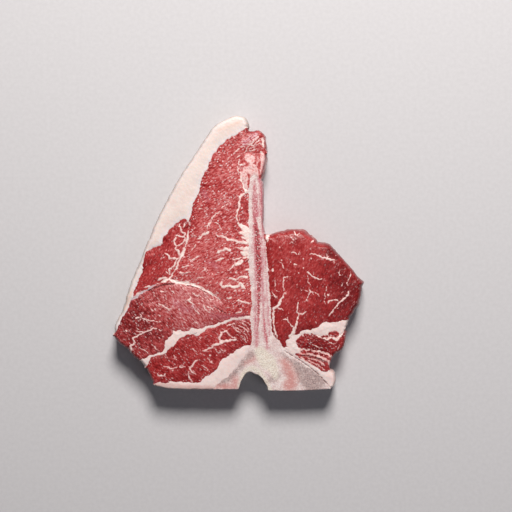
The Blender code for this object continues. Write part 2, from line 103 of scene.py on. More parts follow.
# ---------------------------------------------------------------- what lies on the cut face
# Strokes: width where it starts and where it ends, then the points that it runs through
VEINS = [
    # strip loin
    (1.0, 0.9, [(-15, 32.8), (-18.5, 29.5), (-20.9, 27.7), (-21.8, 23.9), (-24.1, 20.7), (-24.8, 17.9)]),
    (0.7, 0.6, [(-19.9, 24.4), (-16.7, 23.9), (-14.6, 21.6), (-13.9, 18.3), (-14.8, 16.9)]),
    (1.2, 1.8, [(-32.5, 10.6), (-29.3, 12.7), (-26.5, 15.1), (-24.6, 16.5)]),
    (1.4, 1.8, [(-17.1, 13.7), (-12, 12.7), (-7.3, 11), (-4.5, 9.5), (-0.3, 8.5), (1.5, 8.5)]),
    (1.2, 2.2, [(-17, 0), (-13.3, 1.1), (-9.5, 3), (-6.7, 1.8)]),
    (2.6, 2.6, [(-14, -4.9), (-12, -4.7)]),
    (1.6, 0.5, [(-13.5, -5), (-17.5, -7.3)]),
    (0.9, 1.3, [(-4.4, -5.6), (-0.2, -4.7), (2.6, -3.8)]),
    (1.8, 2.8, [(-3, -10.1), (0.3, -8.2), (2.6, -6.8)]),
    (1.2, 0.5, [(-3, -10.1), (-7.7, -14.3), (-10.5, -16.1)]),
    (1.2, 1.2, [(-1.6, -16.1)]),
    (1.2, 1.9, [(-0.2, -21.3), (1.7, -19.9), (4, -19.2), (6.8, -19.9)]),
    (1.0, 1.5, [(-7.7, -21.7), (-5.3, -20.8), (-1.6, -22.2)]),
    (1.5, 2.2, [(-12.8, -22.2), (-13.3, -24.5), (-12.3, -26.9), (-9.5, -27.3), (-6.3, -26.9), (-3, -27.3),
                (0.3, -26.4), (2.1, -24.5), (4, -26.9), (6.3, -28.7)]),
    (1.0, 1.0, [(-3.9, -31.3), (-1.6, -30.4)]),
    (0.7, 1.2, [(-9.1, -36.7), (-5.8, -36)]),
    (1.0, 1.7, [(-1.1, -38.8), (1.7, -38.3), (4.9, -39.5), (8.7, -40.4)]),
    (0.8, 0.8, [(-2.1, -48.1), (2.1, -47.6), (3.1, -46), (1.2, -44.8)]),
    (0.7, 1.1, [(-38.9, -6.3), (-35.7, -5.4), (-31.5, -3.5)]),
    (0.6, 0.8, [(-38, 0.7), (-35.2, 4.4), (-33.8, 6.3)]),
    (0.9, 0.7, [(-45, -12.2), (-42.2, -11.2), (-38.5, -10.6)]),
    (1.1, 0.7, [(-46, -15.9), (-42, -16.2), (-38.5, -15.9)]),
    (1.3, 0.6, [(-26.4, -13.5), (-24.2, -13.2)]),
    (0.7, 0.7, [(-24, -24.1), (-21.2, -23.1)]),
    (0.6, 0.5, [(-33.3, -20.3), (-26.3, -19.9)]),
    (0.6, 0.5, [(-13.4, 35.1), (-7.3, 40.3)]),
    (0.6, 0.5, [(-32.5, 34.7), (-28.8, 35.1)]),
    (0.7, 0.9, [(3.2, 85.1), (5.1, 86.5), (9.7, 87), (13, 89.8), (16.3, 93.1)]),
    (0.6, 0.8, [(-3.8, 79.3), (-0.5, 81.6), (3.2, 85.1)]),
    (0.6, 0.6, [(-9.4, 73.7), (-6.1, 76.3)]),
    (0.7, 0.9, [(0.4, 63.7), (-0.1, 67.4), (0.9, 73), (2.7, 73.9)]),
    (2.6, 1.6, [(20.4, 84.6), (20.4, 88), (19.2, 92)]),
    # onion-like layers round the end of the rib
    (0.5, 0.6, [(1.4, 84.4), (6, 85), (11, 87.4), (15.4, 91.4), (17, 94.6)]),
    (0.5, 0.6, [(2.4, 86.4), (6.4, 86.8), (10.8, 89), (14.4, 92.4), (15.6, 95.4)]),
    (0.45, 0.5, [(3, 88.2), (6.6, 88.6), (10.4, 90.6), (13.4, 93.6), (14, 96)]),
    (0.45, 0.5, [(3.6, 90), (6.8, 90.4), (9.8, 92.2), (12, 94.8)]),
    (0.45, 0.5, [(4.6, 92), (7.2, 92.4), (9.6, 94)]),
    (0.5, 0.6, [(5, 84), (10, 85), (14.2, 87.6), (17.8, 91.6)]),
    (0.5, 0.6, [(8, 83), (12, 84), (15.6, 86), (18.4, 89)]),
    (0.7, 0.6, [(4.4, 79.6), (7, 81.4), (11, 81.6), (14.6, 82.6)]),
    (0.6, 0.5, [(6, 83), (6.6, 80.6)]),
    # fat and gristle over the end of the rib
    (8.2, 8.6, [(8.8, 75.4), (10.2, 74.4)]),
    (6.0, 7.4, [(12, 67.2), (12.4, 64.6), (13, 60)]),
    (4.4, 4.4, [(10, 69), (8, 66)]),
    (3.4, 5.4, [(5.4, 66.6), (5, 62), (5.4, 58)]),
    (3.6, 2.2, [(5.6, 58), (6, 52), (6.4, 48)]),
    (2.0, 3.6, [(18.6, 80.4), (19.6, 78), (20.2, 75.6)]),
    (3.6, 3.6, [(20.2, 75.6), (20, 73.6)]),
    (3.6, 1.6, [(20, 73.6), (19, 70.4), (18.8, 68)]),
    (1.8, 0.8, [(18.8, 68), (18, 65), (18.2, 62.6)]),
    (1.2, 0.6, [(16.6, 75.6), (18.4, 74)]),
    (1.6, 1.0, [(15.4, 70), (16.6, 73.6), (16, 77)]),
    (1.8, 0.4, [(4, 64.2), (0.6, 64.2)]),
    (1.6, 0.4, [(4, 61.2), (0.6, 61.2)]),
    (2.0, 0.4, [(4, 58.2), (0, 57.8)]),
    (1.4, 0.4, [(5, 71), (2.4, 70.4), (1.6, 67)]),
    (1.6, 0.9, [(7.1, 49.1), (4.3, 46.3), (2, 44.9), (1.3, 40.7), (1.1, 36.1), (-0.3, 32.8), (-0.6, 28.6),
                (-0.3, 23.9)]),
    (1.6, 6.0, [(0, 23), (4, 19.8), (9.2, 14.6)]),
    (1.4, 3.4, [(0.4, 16.4), (4.6, 15), (9.2, 12)]),
    (0.9, 3.0, [(2, 12.4), (5.6, 11.4), (9.2, 9.6)]),
    (0.9, 2.4, [(-1.6, 7.2), (3, 8.2), (9.2, 6.8)]),
    (1.0, 4.0, [(-1.3, 4.6), (1.6, 3.6), (4.8, 3.0), (9.2, 2.6)]),
    (1.2, 4.8, [(2.4, 0.4), (5, -0.6), (9.2, -1.4)]),
    (1.0, 2.2, [(4, -4.4), (7, -4.2), (9.6, -4.6)]),
    (3.4, 0.8, [(23.8, 13.4), (23.2, 11), (22.8, 7.6)]),
    (0.8, 2.0, [(4.5, -14), (9.4, -13)]),
    # cap muscle
    (1.1, 1.1, [(-49, 13.7), (-50.7, 10.4), (-51.1, 8.1), (-49, 5.3), (-45.5, 7.1), (-43.2, 9),
                (-42.3, 12.7), (-46.5, 13), (-49, 13.7)]),
    (1.1, 0.9, [(-42.3, 12.7), (-42.7, 15.5), (-45.5, 16.9), (-46.5, 20.7), (-46.9, 23.5)]),
    (0.9, 0.8, [(-43.7, 20.2), (-43.2, 24)]),
    (1.2, 0.9, [(-49, 5.3), (-50.2, 2.9), (-47.9, 2), (-46.5, -0.3), (-46, -4)]),
    (0.9, 0.9, [(-42.3, 5.3), (-43.7, 2), (-44.6, -1.3)]),
    (0.9, 1.1, [(-47.1, 0.7), (-47.1, -4), (-49, -6.3), (-50.4, -9.6), (-53.7, -12.4), (-55.1, -14.3),
                (-54.1, -18)]),
    (1.4, 1.2, [(-58.1, -1), (-56, -2.1), (-54.6, -4.5), (-51.3, -4.5), (-49, -5.4)]),
    (1.2, 0.8, [(-75.1, -28.3), (-71.4, -27.3), (-68, -26)]),
    (1.4, 1.0, [(-64.4, -22.2), (-60.7, -20.8), (-56, -20.6)]),
    (0.9, 0.5, [(-57.5, -15.5), (-54.6, -17.2)]),
    # lower loin
    (1.1, 0.9, [(-62.3, -30.8), (-58.6, -32)]),
    (0.8, 0.5, [(-54.8, -29), (-49.9, -33.6)]),
    (1.0, 1.0, [(-63.5, -40.6), (-57.9, -43.7), (-54.1, -46.7)]),
    (0.9, 0.6, [(-81.5, -52.3), (-77.3, -52.1), (-74.1, -53.4), (-70.1, -54.1), (-65.5, -54.8), (-61.3, -55)]),
    (0.7, 0.5, [(-79.6, -54.8), (-77.3, -52.1), (-78.4, -48.5)]),
    (0.8, 1.3, [(-64.5, -60.2), (-67.3, -60.4), (-71.1, -62.7), (-75.3, -64.4), (-79.9, -66.5), (-83.7, -68.8),
                (-82.3, -72.5), (-85.5, -74.9), (-85.5, -77.7), (-86, -80.9)]),
    (0.9, 0.9, [(-81.3, -63), (-76.7, -63.2), (-75.3, -64.4)]),
    (0.7, 0.5, [(-58, -57.6), (-55.7, -57.4)]),
    (0.6, 0.6, [(-77.1, -77.2), (-73.9, -79.5), (-72, -81.4)]),
    (0.6, 0.6, [(-68.3, -74.4), (-65.5, -76.7), (-63.1, -78.6)]),
    (1.6, 0.6, [(-39, -38.5), (-41.3, -38.8)]),
    (1.4, 0.6, [(-38.9, -38.5), (-37.3, -35.7)]),
    (0.9, 0.6, [(-38.9, -38.5), (-36.1, -41.8), (-34.3, -45.5), (-32.4, -47.9), (-30.5, -50.2)]),
    (1.0, 0.6, [(-27.7, -42.3), (-25.9, -45.1), (-24, -46.9), (-21.2, -47.9)]),
    (0.9, 0.6, [(-24.5, -43.2), (-21.2, -44.1), (-19.8, -46)]),
    (0.8, 0.5, [(-22.6, -37.1), (-19.3, -38.5)]),
    (0.8, 0.5, [(-17, -38.5), (-12.8, -40.4)]),
    (0.8, 0.6, [(-33.3, -55.7), (-30.9, -58.5)]),
    (0.7, 0.5, [(-36.6, -32.7), (-33.8, -33.6), (-28, -37)]),
    # seam between strip and lower loin, from the fork to where it fades
    (2.2, 2.6, [(-54.5, -21.9), (-49.9, -23.6), (-45.7, -24.4), (-41.3, -24.5), (-37.5, -25)]),
    (2.2, 0.7, [(-37.5, -25), (-35.2, -25.9), (-31.5, -27.3), (-28.7, -28.9), (-24.9, -31), (-21.7, -32),
                (-19.8, -33.9), (-17, -35.6), (-14.7, -37.6), (-13.3, -40.4)]),
    # back muscle
    (1.2, 2.0, [(-28.8, -79.1), (-25.5, -78.4), (-22.3, -76.7), (-19.5, -74.9), (-15.7, -73), (-12.9, -71.8)]),
    (2.4, 0.8, [(-12.9, -71.8), (-9.7, -71.1), (-5.5, -70), (-0.3, -69.7)]),
    (2.0, 1.2, [(-12.9, -71.8), (-14.1, -69.3), (-13.9, -66.5), (-13.4, -63.7), (-13.9, -61.8)]),
    (1.1, 0.8, [(-12, -63.7), (-9.2, -63.2), (-7.3, -65.1), (-4.5, -67.4), (-1.3, -68.8)]),
    (0.9, 0.6, [(-9.2, -63.2), (-7.3, -60.9)]),
    (0.8, 0.6, [(-4.5, -58.5), (-1.7, -61.8), (3.4, -63.2), (5.7, -62.3)]),
    (0.8, 0.5, [(-8.3, -58.3), (-1.3, -56.9)]),
    (0.6, 0.5, [(6.7, -59.5), (8.1, -60.9), (8.1, -64.6)]),
    (0.7, 0.5, [(1.1, -64.6), (4.3, -69.3), (7.6, -72.5)]),
    (0.55, 0.45, [(2, -54.8), (6, -55.2), (9.6, -58)]),
    (0.55, 0.45, [(0, -55.8), (4, -57), (8, -60.2), (9.8, -64)]),
    (0.55, 0.45, [(-2, -57.6), (2.6, -58.8), (6.4, -62), (9, -67)]),
    (0.55, 0.45, [(-3, -59.8), (1.4, -61.2), (5.4, -64.8), (8.4, -70)]),
    (0.55, 0.45, [(-1.6, -62.8), (2, -64.2), (4.8, -67.6), (7.2, -73)]),
    (0.5, 0.4, [(0, -65.6), (2.6, -67.8), (5.2, -71.8)]),
    (0.8, 0.6, [(-18.5, -76.3), (-16.7, -79.1), (-13.4, -80.9)]),
    (0.6, 0.4, [(-14.3, -76.3), (-10.1, -79.5)]),
    (1.2, 0.8, [(-24.1, -84.2), (-22.3, -87), (-19.9, -89.3)]),
    (1.2, 1.2, [(-22.3, -82.3)]),
    (1.0, 1.0, [(-17.1, -82.3)]),
    (0.7, 1.6, [(-31.4, -86.5), (-34.2, -86.5), (-35.1, -88.9), (-37, -90.7), (-38.4, -93.1)]),
    (1.0, 0.6, [(-38.4, -93.1), (-36.5, -95.9), (-33.3, -97.7)]),
    (0.8, 1.1, [(-39.6, -94.5), (-39.3, -97.3), (-38.4, -101), (-36.1, -103.3)]),
    (0.6, 0.5, [(-29.7, -90.7), (-25.5, -92.1), (-22.7, -95.4)]),
    (0.8, 0.7, [(-37.5, -76.7), (-34.7, -77.7), (-32.8, -79.5)]),
    (0.7, 0.7, [(-50.5, -83.3), (-48.7, -86.1)]),
    (0.6, 0.6, [(-52.4, -85.1), (-48.7, -86.1)]),
    (0.7, 0.7, [(-46.3, -88.9), (-45.9, -91.2), (-42.6, -91.7)]),
    (0.9, 0.7, [(-48.7, -91.7), (-53.3, -92.6), (-56.6, -91.7), (-58.9, -90.3)]),
    (0.7, 0.5, [(-53.3, -92.6), (-51.5, -95.9)]),
    (0.9, 0.7, [(-57.5, -95.9), (-59.9, -98.2), (-63.1, -98.7), (-64.5, -96.8)]),
    # tenderloin
    (1.0, 1.2, [(57.5, -1.4), (60.7, -1.4), (64, -2.8), (67.3, -4), (71, -4.7), (73.8, -5.6), (77.5, -6.1)]),
    (0.7, 0.5, [(70.5, -4.3), (72.6, -2.8)]),
    (1.0, 1.0, [(55.1, -16.1), (57.5, -17.1), (59.3, -18.9), (62.1, -20.1), (66.8, -20.8)]),
    (0.4, 0.6, [(55.1, -18), (56.1, -21.7), (57, -26.9), (57.9, -32), (55.6, -34.8)]),
    (0.5, 0.5, [(57.9, -32), (62.1, -32), (64.5, -34.8)]),
    (0.5, 0.4, [(57.4, -31.8), (54, -30.4), (51, -29.7)]),
    (0.5, 0.4, [(57.4, -32), (55.6, -36), (53.9, -39.6)]),
    (0.5, 0.6, [(70.3, -27.3), (70.1, -31.1), (69.4, -33.4), (70.1, -35.7), (68.4, -37.4), (69.1, -41.1)]),
    (1.3, 1.3, [(71.9, -33.9)]),
    (1.0, 0.9, [(71, -40.6), (73.8, -38.1), (78.9, -38.3), (80.3, -39.5)]),
    (0.9, 1.0, [(72.4, -50.5), (75.8, -46.5), (78.3, -43.3), (80.6, -40), (84.5, -37.3), (88, -33), (89, -29.5)]),
    (0.7, 0.6, [(90, -16.5), (89.5, -19.5), (87.3, -24), (88, -26)]),
    (0.5, 0.4, [(84, -25), (82, -27.5)]),
    (0.8, 2.0, [(36.7, -32), (35.5, -35.3), (33.2, -39.5), (32.3, -42.3), (30.9, -43.7)]),
    (1.8, 1.0, [(30.9, -43.7), (28.5, -45.3), (28.3, -48.3), (28.1, -52.1), (28.5, -55.3), (29, -59.5)]),
    (0.9, 0.6, [(32.7, -44.6), (34.6, -45.5), (36.5, -46.5)]),
    (0.7, 0.6, [(36.7, -32), (38.3, -32.7), (39.7, -29.7)]),
    (0.7, 0.6, [(36.5, -30.6), (36.2, -22.7), (36.7, -19.9), (38.1, -19.9), (41.6, -18.9)]),
    (0.5, 0.6, [(36.5, -12.9), (35.1, -7.3)]),
    (1.3, 1.3, [(34.8, -6.3)]),
    (2.1, 2.1, [(27.8, -13.4), (27.8, -14.6)]),
    (0.6, 0.6, [(29.9, -22.2), (29.9, -28.3)]),
    (0.8, 0.8, [(27.6, -32), (28.5, -34.3), (30.4, -35.7), (31.6, -34.3)]),
    (0.6, 0.6, [(30.6, -30.6), (32.5, -31.8)]),
    (0.9, 0.9, [(42.1, -7.5)]),
    (1.4, 0.6, [(46, -9.4), (47.4, -10.6)]),
    (0.8, 0.8, [(48.4, -16.4)]),
    (0.8, 0.8, [(52.1, -4.9)]),
    (0.8, 0.8, [(58.4, -4.7)]),
    (1.2, 1.2, [(33.2, 4.2)]),
    (0.8, 0.8, [(47, -27.6)]),
    (0.7, 0.7, [(52.3, -12.4)]),
    (0.8, 0.8, [(35.5, 6.5), (37.4, 6.5)]),
    (0.7, 0.7, [(41.8, 7), (43, 8.1), (44.9, 7.2)]),
    (0.6, 0.6, [(41.1, 0.2), (44.9, 0), (47.2, -1.7), (49.5, 0.2)]),
    (0.6, 1.3, [(48.1, -39), (47.7, -46), (48.4, -48.8), (47.7, -53), (46.6, -58.1)]),
    (1.3, 2.4, [(46.6, -58.1), (44.7, -60.9), (44.7, -63.7), (42.4, -66.9)]),
    (1.0, 0.8, [(48.6, -48.8), (50.9, -49.5), (52.3, -48.8), (54.7, -46.7)]),
    (0.7, 0.9, [(36, -53.7), (39.3, -53.7), (41.1, -56.7), (43.5, -59.5), (44.6, -61)]),
    (0.7, 0.6, [(41.5, 13.8), (44, 10.5), (46, 8.5)]),
    (0.7, 0.6, [(44.5, 17), (46.5, 14.5), (49.5, 15)]),
    (1.4, 1.0, [(58.5, 8), (60, 9.8), (61.5, 10.5)]),
    (0.6, 0.6, [(80.5, -16), (81.5, -17.5), (83.5, -18.5)]),
    (1.2, 1.6, [(29, -58.5), (29.6, -62), (30.3, -65), (31.7, -70.2)]),
    # side strap and chine strip
    (2.0, 1.4, [(61, -62.5), (64, -66), (67.4, -68.4)]),
    (1.4, 1.8, [(67.4, -68.4), (71, -69.2), (75, -68.4)]),
    (1.8, 1.4, [(75, -68.4), (79, -69), (82, -66.4), (84, -62.6)]),
    (1.4, 0.7, [(66, -61), (68.5, -64.6)]),
    (1.4, 0.6, [(56, -63.6), (58.6, -66.6)]),
    (1.2, 0.5, [(51, -65), (53, -68)]),
    (0.9, 0.7, [(72.5, -71.5), (76.8, -73.8)]),
    (0.7, 0.5, [(59.5, -74), (66, -77)]),
    (0.6, 0.5, [(81.5, -74), (80.5, -78), (78.5, -80)]),
    (2.2, 0.8, [(44, -76), (49, -77.2), (53.6, -78.4), (58.3, -78.3)]),
    (1.2, 1.8, [(58.3, -78.3), (62.9, -79), (67.6, -80.2), (71.3, -81.6), (75, -84.4)]),
    (1.8, 0.8, [(47, -79.4), (52, -81.2), (56, -83.6)]),
    (1.2, 2.2, [(54, -81), (58, -81.6), (62, -82.4), (66.7, -84.2), (71.3, -86.6), (73.7, -89)]),
    (0.9, 1.4, [(55.5, -84.8), (59.7, -85.4), (64.8, -87), (69, -89.6)]),
    (1.8, 1.0, [(50, -84.4), (55, -87.6), (60, -91), (65, -94.6)]),
    (1.0, 0.6, [(57, -86.4), (61, -88.6), (66, -91.6), (70, -94.4)]),
]

# Seams that carry a film of fat all along: the two neighbours, and its width
FILMS = [("cap_muscle", "strip_loin", 1.8), ("cap_muscle", "lower_loin", 2.2), ("side_strap", "tenderloin_fat", 0.8),
         ("strip_loin", "t_bone", 0.8), ("tenderloin", "t_bone", 0.7), ("back_muscle", "t_bone", 0.7)]

# Clefts: narrow furrows where two muscles part, sunk into the face, with painted shade darkening their colour
SHADED_CLEFTS = [
    (0.9, 1.2, [(-72, -30.6), (-66, -28.2), (-59, -25.9), (-52, -25.4)]),
    (0.6, 0.5, [(-40.3, -26.6), (-34.3, -28), (-29.6, -30), (-24.9, -32.3)]),
    (0.5, 0.8, [(-20.3, -42.3), (-17, -44.6), (-13.7, -46.5), (-10.5, -48.3)]),
    (0.7, 0.6, [(-33, -64.6), (-37, -66.6), (-41, -68.4)]),
    (0.7, 0.7, [(37.5, -79), (45.2, -83.9), (49.9, -86.6), (54.1, -89.6), (59.7, -93.6), (64.8, -98),
                (69.5, -103.2), (74, -108)]),
    (0.8, 0.6, [(49, -82.4), (54, -82.8), (60, -83.6), (66, -85.6), (70, -88)]),
]

# Bone: what shows on the sawn face
MARROW = [
    (1.0, 3.6, [(13.2, 29), (14, 24), (14.8, 19)]),
    (3.6, 5.0, [(14.8, 19), (15.4, 12), (15.8, 5)]),
    (5.0, 4.4, [(15.8, 5), (16.2, -4), (16.6, -12)]),
    (4.4, 2.8, [(16.6, -12), (16.9, -24), (16.9, -36)]),
    (2.8, 0.2, [(16.9, -36), (16.4, -46), (16, -58), (15.8, -69)]),
    (0.2, 0.9, [(20.2, -50), (21.8, -62), (23.4, -72)]),
    (0.3, 0.6, [(13.2, 57), (12.8, 48), (13, 40), (13.6, 31)]),
    (0.3, 0.5, [(12.4, 52), (11.8, 44), (12, 34), (12.4, 24)]),
    (0.3, 0.6, [(14.2, 54), (15, 46), (15.2, 38), (15, 30)]),
    (0.3, 0.5, [(17.6, 56), (17.8, 48), (17.6, 40), (17.8, 30)]),
]
# Pink: spongy bone with blood in it; on fat, the blush along a crease
PINK = [
    (0.6, 5.0, [(13, 58), (13.6, 50), (14, 40), (14.2, 30)]),
    (3.6, 3.4, [(18, 61), (18.6, 50), (19, 38)]),
    (3.4, 2.6, [(19, 38), (19.6, 24), (20.6, 12)]),
    (1.4, 2.0, [(12.8, 28), (12.6, 12), (13.6, -12), (14.2, -34), (14, -56), (15, -76)]),
    (0.4, 1.4, [(22.6, -16), (23.2, -36), (24, -50), (25.5, -66)]),
    (1.0, 1.4, [(20.6, 16), (21.4, 2), (22, -12)]),
    (1.4, 2.2, [(19, 12), (19.2, -8), (19.8, -28), (20.4, -48), (22, -66), (23.6, -76)]),
]
# Salmon: the blush of the vertebra's body and of creases in the fat; on lean, lilac patches of painted sheen
SALMON = [
    (3.6, 3.0, [(5, 88), (10, 91), (14, 94.6)]),
    (3.0, 1.0, [(-27, 48), (-24, 42)]),
    (2.0, 2.6, [(-23, -8), (-17, -12)]),
    (3.0, 2.0, [(-50, -40), (-42, -46), (-36, -44)]),
    (6.0, 9.0, [(37, -88), (41, -94), (43, -101), (41, -107)]),
    (3.0, 5.0, [(-17, -107.6), (-9, -107.6), (-2.6, -107.2), (-1.4, -102)]),
    (1.8, 1.2, [(6, -88.4), (10, -87), (13.4, -84.6)]),
    (1.4, 1.2, [(-15, 97.4), (-9, 100.4), (-3, 102.6), (2.4, 105.4)]),
    (1.6, 3.0, [(-84.6, -30), (-87.4, -38), (-91, -45)]),
    (2.4, 4.0, [(-66, -105), (-50, -106.6), (-34, -107.8), (-20, -108.6)]),
    (1.6, 3.4, [(-22, -50.4), (-10, -51.4), (4, -51.6)]),
]
# Grey: gristle and bruised bone; on lean, bluish silverskin
GREY = [
    (5.0, 5.0, [(-15.5, -104.6), (-9, -101.2), (-3, -96.4), (2.6, -90.2), (7, -85), (11.6, -81)]),
    (5.0, 18.0, [(45, -89.5), (50, -94), (56, -100), (61, -103)]),
    (1.6, 3.0, [(36, -81), (41, -86), (46, -90)]),
    (3.0, 5.0, [(23, -103), (27, -101.4), (31, -99)]),
    (2.6, 3.2, [(-66, -26), (-74, -30.8), (-84.5, -38)]),
]
# Cream: dense or gristly bone
CREAM = [
    (3.0, 4.6, [(1.2, -106.5), (3.2, -99.8), (6.2, -95), (10.4, -92.8), (15.4, -94.4), (18.4, -97.4)]),
    (3.4, 2.6, [(18.4, -97.4), (22, -102), (24.6, -107), (26, -110)]),
    (8.0, 13.0, [(17, -79), (20.4, -84), (24, -88)]),
    (11.0, 5.0, [(24, -88), (28, -93), (30, -99)]),
]

# Broad shades of the lean: place, radius and how much lighter or darker; the lighter ones on the strip loin and the
# lower loin are painted sheen
SHADES = [
    (-18, 60, 26, 0.12), (-14, 20, 22, 0.12), (0, 80, 16, 0.04), (-10, -25, 20, 0.12), (-30, -5, 16, 0.14),
    (-60, -5, 20, -0.06), (-82, -55, 20, -0.3), (-42, -42, 24, 0.17), (-55, -60, 18, -0.05),
    (-62, -78, 16, -0.06), (-30, -85, 26, -0.04), (0, -62, 14, -0.12), (-50, -96, 16, -0.04),
    (36, -20, 20, 0.04), (62, -30, 24, -0.02), (90, -35, 18, -0.34), (80, -12, 14, -0.16),
    (75, 2, 7, -0.3), (57, 13, 6, 0.02), (66, -74, 18, -0.3), (3.5, 36, 8, -0.16), (40, -60, 14, -0.04),
]
# Lean that lies against these seams is darker: the two neighbours, how far in, how much
DARK_EDGES = [("strip_loin", "fat_cap", 7.0, 0.17), ("cap_muscle", "fat_cap", 5.0, 0.1),
              ("tenderloin", "t_bone", 4.0, 0.1)]

# The grain of each muscle: its direction in degrees, how far specks stray from it, and how much they show, painted
# glints among them
GRAINS = {
    "strip_loin": (28, 45, 0.75), "cap_muscle": (60, 60, 0.4), "lower_loin": (-46, 22, 0.6),
    "back_muscle": (-40, 60, 0.5), "tenderloin": (60, 90, 0.22), "side_strap": (-20, 40, 0.65),
    "chine_strip": (-24, 20, 0.5), "rib_fat": (75, 40, 0.4),
}
# Specks of marbling: region, how many on a square centimetre, length and width
FLECKS = [
    ("strip_loin", 2.4, 1.5, 0.4), ("cap_muscle", 0.8, 1.3, 0.4), ("lower_loin", 1.5, 2.6, 0.36),
    ("back_muscle", 0.9, 2.2, 0.34), ("tenderloin", 0.2, 1.5, 0.32), ("side_strap", 1.0, 1.4, 0.36),
]
VEIN_WIDTH = 1.06
# Deep, middle and pale red of each kind of lean; the lower loin's pale red is greyer and lilac, a painted sheen
REDS = {
    "lean": ("#7a1216", "#ae3637", "#d07676"), "dark_lean": ("#6c0c10", "#9e2a2b", "#c65a5a"),
    "lower_loin": ("#6e1417", "#a93c3d", "#ce8688"), "rib_fat": ("#7a1216", "#ae3637", "#d07676"),
}
# Fat in the lean: where it is thin, and where it is thick
CREAMS = {"vein": ("#e6c0bd", "#f3e2dd"), "rib_fat": ("#d8999a", "#e6c0bf"), "chine_strip": ("#d49b99", "#e7c5c1"),
          "back_muscle": ("#dba9a8", "#f0dcd7")}
# How far lean and fat run into each other along a vein's edge, in mm; 0.3 elsewhere
RAGGED = {"rib_fat": 1.6, "chine_strip": 1.6, "side_strap": 0.6}
TWIG_EVERY = 10.0


# ---------------------------------------------------------------- curves and outlines
def spline(points, step, closed=False):
    """A Catmull-Rom spline: on each span the cubic whose end slopes follow the neighbouring points, read off
    at even spacing along its length."""
    points = np.asarray(points, float)
    if len(points) == 1:
        return points
    if closed:
        padded = np.vstack([points[-1:], points, points[:2]])
    else:
        padded = np.vstack([2 * points[0] - points[1], points, 2 * points[-1] - points[-2]])
    a, b, c, d = (padded[k:len(padded) - 3 + k, None] for k in range(4))
    along = np.linspace(0, 1, 16, endpoint=False)[None, :, None]
    spans = 0.5 * (2 * b + (c - a) * along + (2 * a - 5 * b + 4 * c - d) * along**2
                   + (3 * b - a - 3 * c + d) * along**3)
    dense = np.vstack([spans.reshape(-1, 2), padded[-2:-1]])
    length = np.concatenate([[0], np.cumsum(np.linalg.norm(np.diff(dense, axis=0), axis=1))])
    even = np.linspace(0, length[-1], max(2, int(round(length[-1] / step)) + 1))
    run = np.stack([np.interp(even, length, dense[:, k]) for k in (0, 1)], axis=1)
    return run[:-1] if closed else run


def cad_loop(node):
    """The outline of a CAD node, counter-clockwise in mm: the edges where its upright wall meets its underside."""
    mesh = bmesh.new()
    mesh.from_mesh(frame["nodes"][node].data)
    bmesh.ops.remove_doubles(mesh, verts=mesh.verts[:], dist=1e-6)
    mesh.normal_update()
    following = {}
    for edge in mesh.edges:
        tilts = sorted((abs(face.normal.z), face.normal.z) for face in edge.link_faces)
        if len(tilts) == 2 and tilts[0][0] < 0.02 and tilts[1][1] < -0.02:
            start, end = edge.verts
            following.setdefault(start.index, []).append(end.index)
            following.setdefault(end.index, []).append(start.index)
    mesh.verts.ensure_lookup_table()
    first = next(iter(following))
    walk, before, here = [first], None, first
    while True:
        ahead = [v for v in following[here] if v != before][0]
        if ahead == first:
            break
        walk.append(ahead)
        before, here = here, ahead
    loop = np.array([mesh.verts[v].co[:2] for v in walk]) / METRES
    mesh.free()
    return loop if signed_area(loop) > 0 else loop[::-1]


def signed_area(loop):
    """Half the sum of the cross products of neighbouring corners."""
    ahead = np.roll(loop, -1, axis=0)
    return 0.5 * float((loop[:, 0] * ahead[:, 1] - loop[:, 1] * ahead[:, 0]).sum())


def smooth_outline(loop, sharp=math.radians(48)):
    """The CAD outline as a smooth curve: a spline between its sharp corners, which stay sharp."""
    back = loop - np.roll(loop, 1, axis=0)
    ahead = np.roll(loop, -1, axis=0) - loop
    turn = np.arctan2(back[:, 0] * ahead[:, 1] - back[:, 1] * ahead[:, 0], (back * ahead).sum(axis=1))
    corners = np.flatnonzero(np.abs(turn) > sharp)
    if len(corners) == 0:
        return spline(loop, FACET, closed=True)
    runs = []
    for start, end in zip(corners, np.append(corners[1:], corners[0] + len(loop))):
        runs.append(spline(loop[np.arange(start, end + 1) % len(loop)], FACET)[:-1])
    return np.vstack(runs)


def outward(loop):
    """Unit vectors that point out of a counter-clockwise loop, evened out over a few points."""
    along = np.roll(loop, -2, axis=0) - np.roll(loop, 2, axis=0)
    along /= np.maximum(np.linalg.norm(along, axis=1, keepdims=True), 1e-9)
    return np.stack([along[:, 1], -along[:, 0]], axis=1)


def blocks(points, size=3000):
    """The points in blocks, to keep the tables of distances small."""
    return [points[k:k + size] for k in range(0, len(points), size)]


def inside(points, loop):
    """Whether each point lies in the loop, by counting the edges that a ray to +X crosses."""
    (ax, ay), (bx, by) = loop.T, np.roll(loop, -1, axis=0).T
    rise = np.where(by == ay, 1.0, by - ay)
    found = []
    for block in blocks(points):
        x, y = block[:, :1], block[:, 1:]
        crossed = ((ay > y) != (by > y)) & (x < (bx - ax) * (y - ay) / rise + ax)
        found.append(crossed.sum(axis=1) % 2 == 1)
    return np.concatenate(found)


def loop_distance(points, loop):
    """Distance from each point to the closed loop: exact within 3 mm, beyond that to the nearest of its points."""
    found, _ = nearest(points, loop[::3])
    near = np.flatnonzero(found < 3.0)
    run = np.roll(loop, -1, axis=0) - loop
    length2 = np.maximum((run**2).sum(axis=1), 1e-12)
    for pick in blocks(near, 1500):
        gap = points[pick][:, None] - loop
        along = np.clip((gap * run).sum(axis=2) / length2, 0, 1)
        found[pick] = np.sqrt(((gap - along[..., None] * run)**2).sum(axis=2)).min(axis=1)
    return found


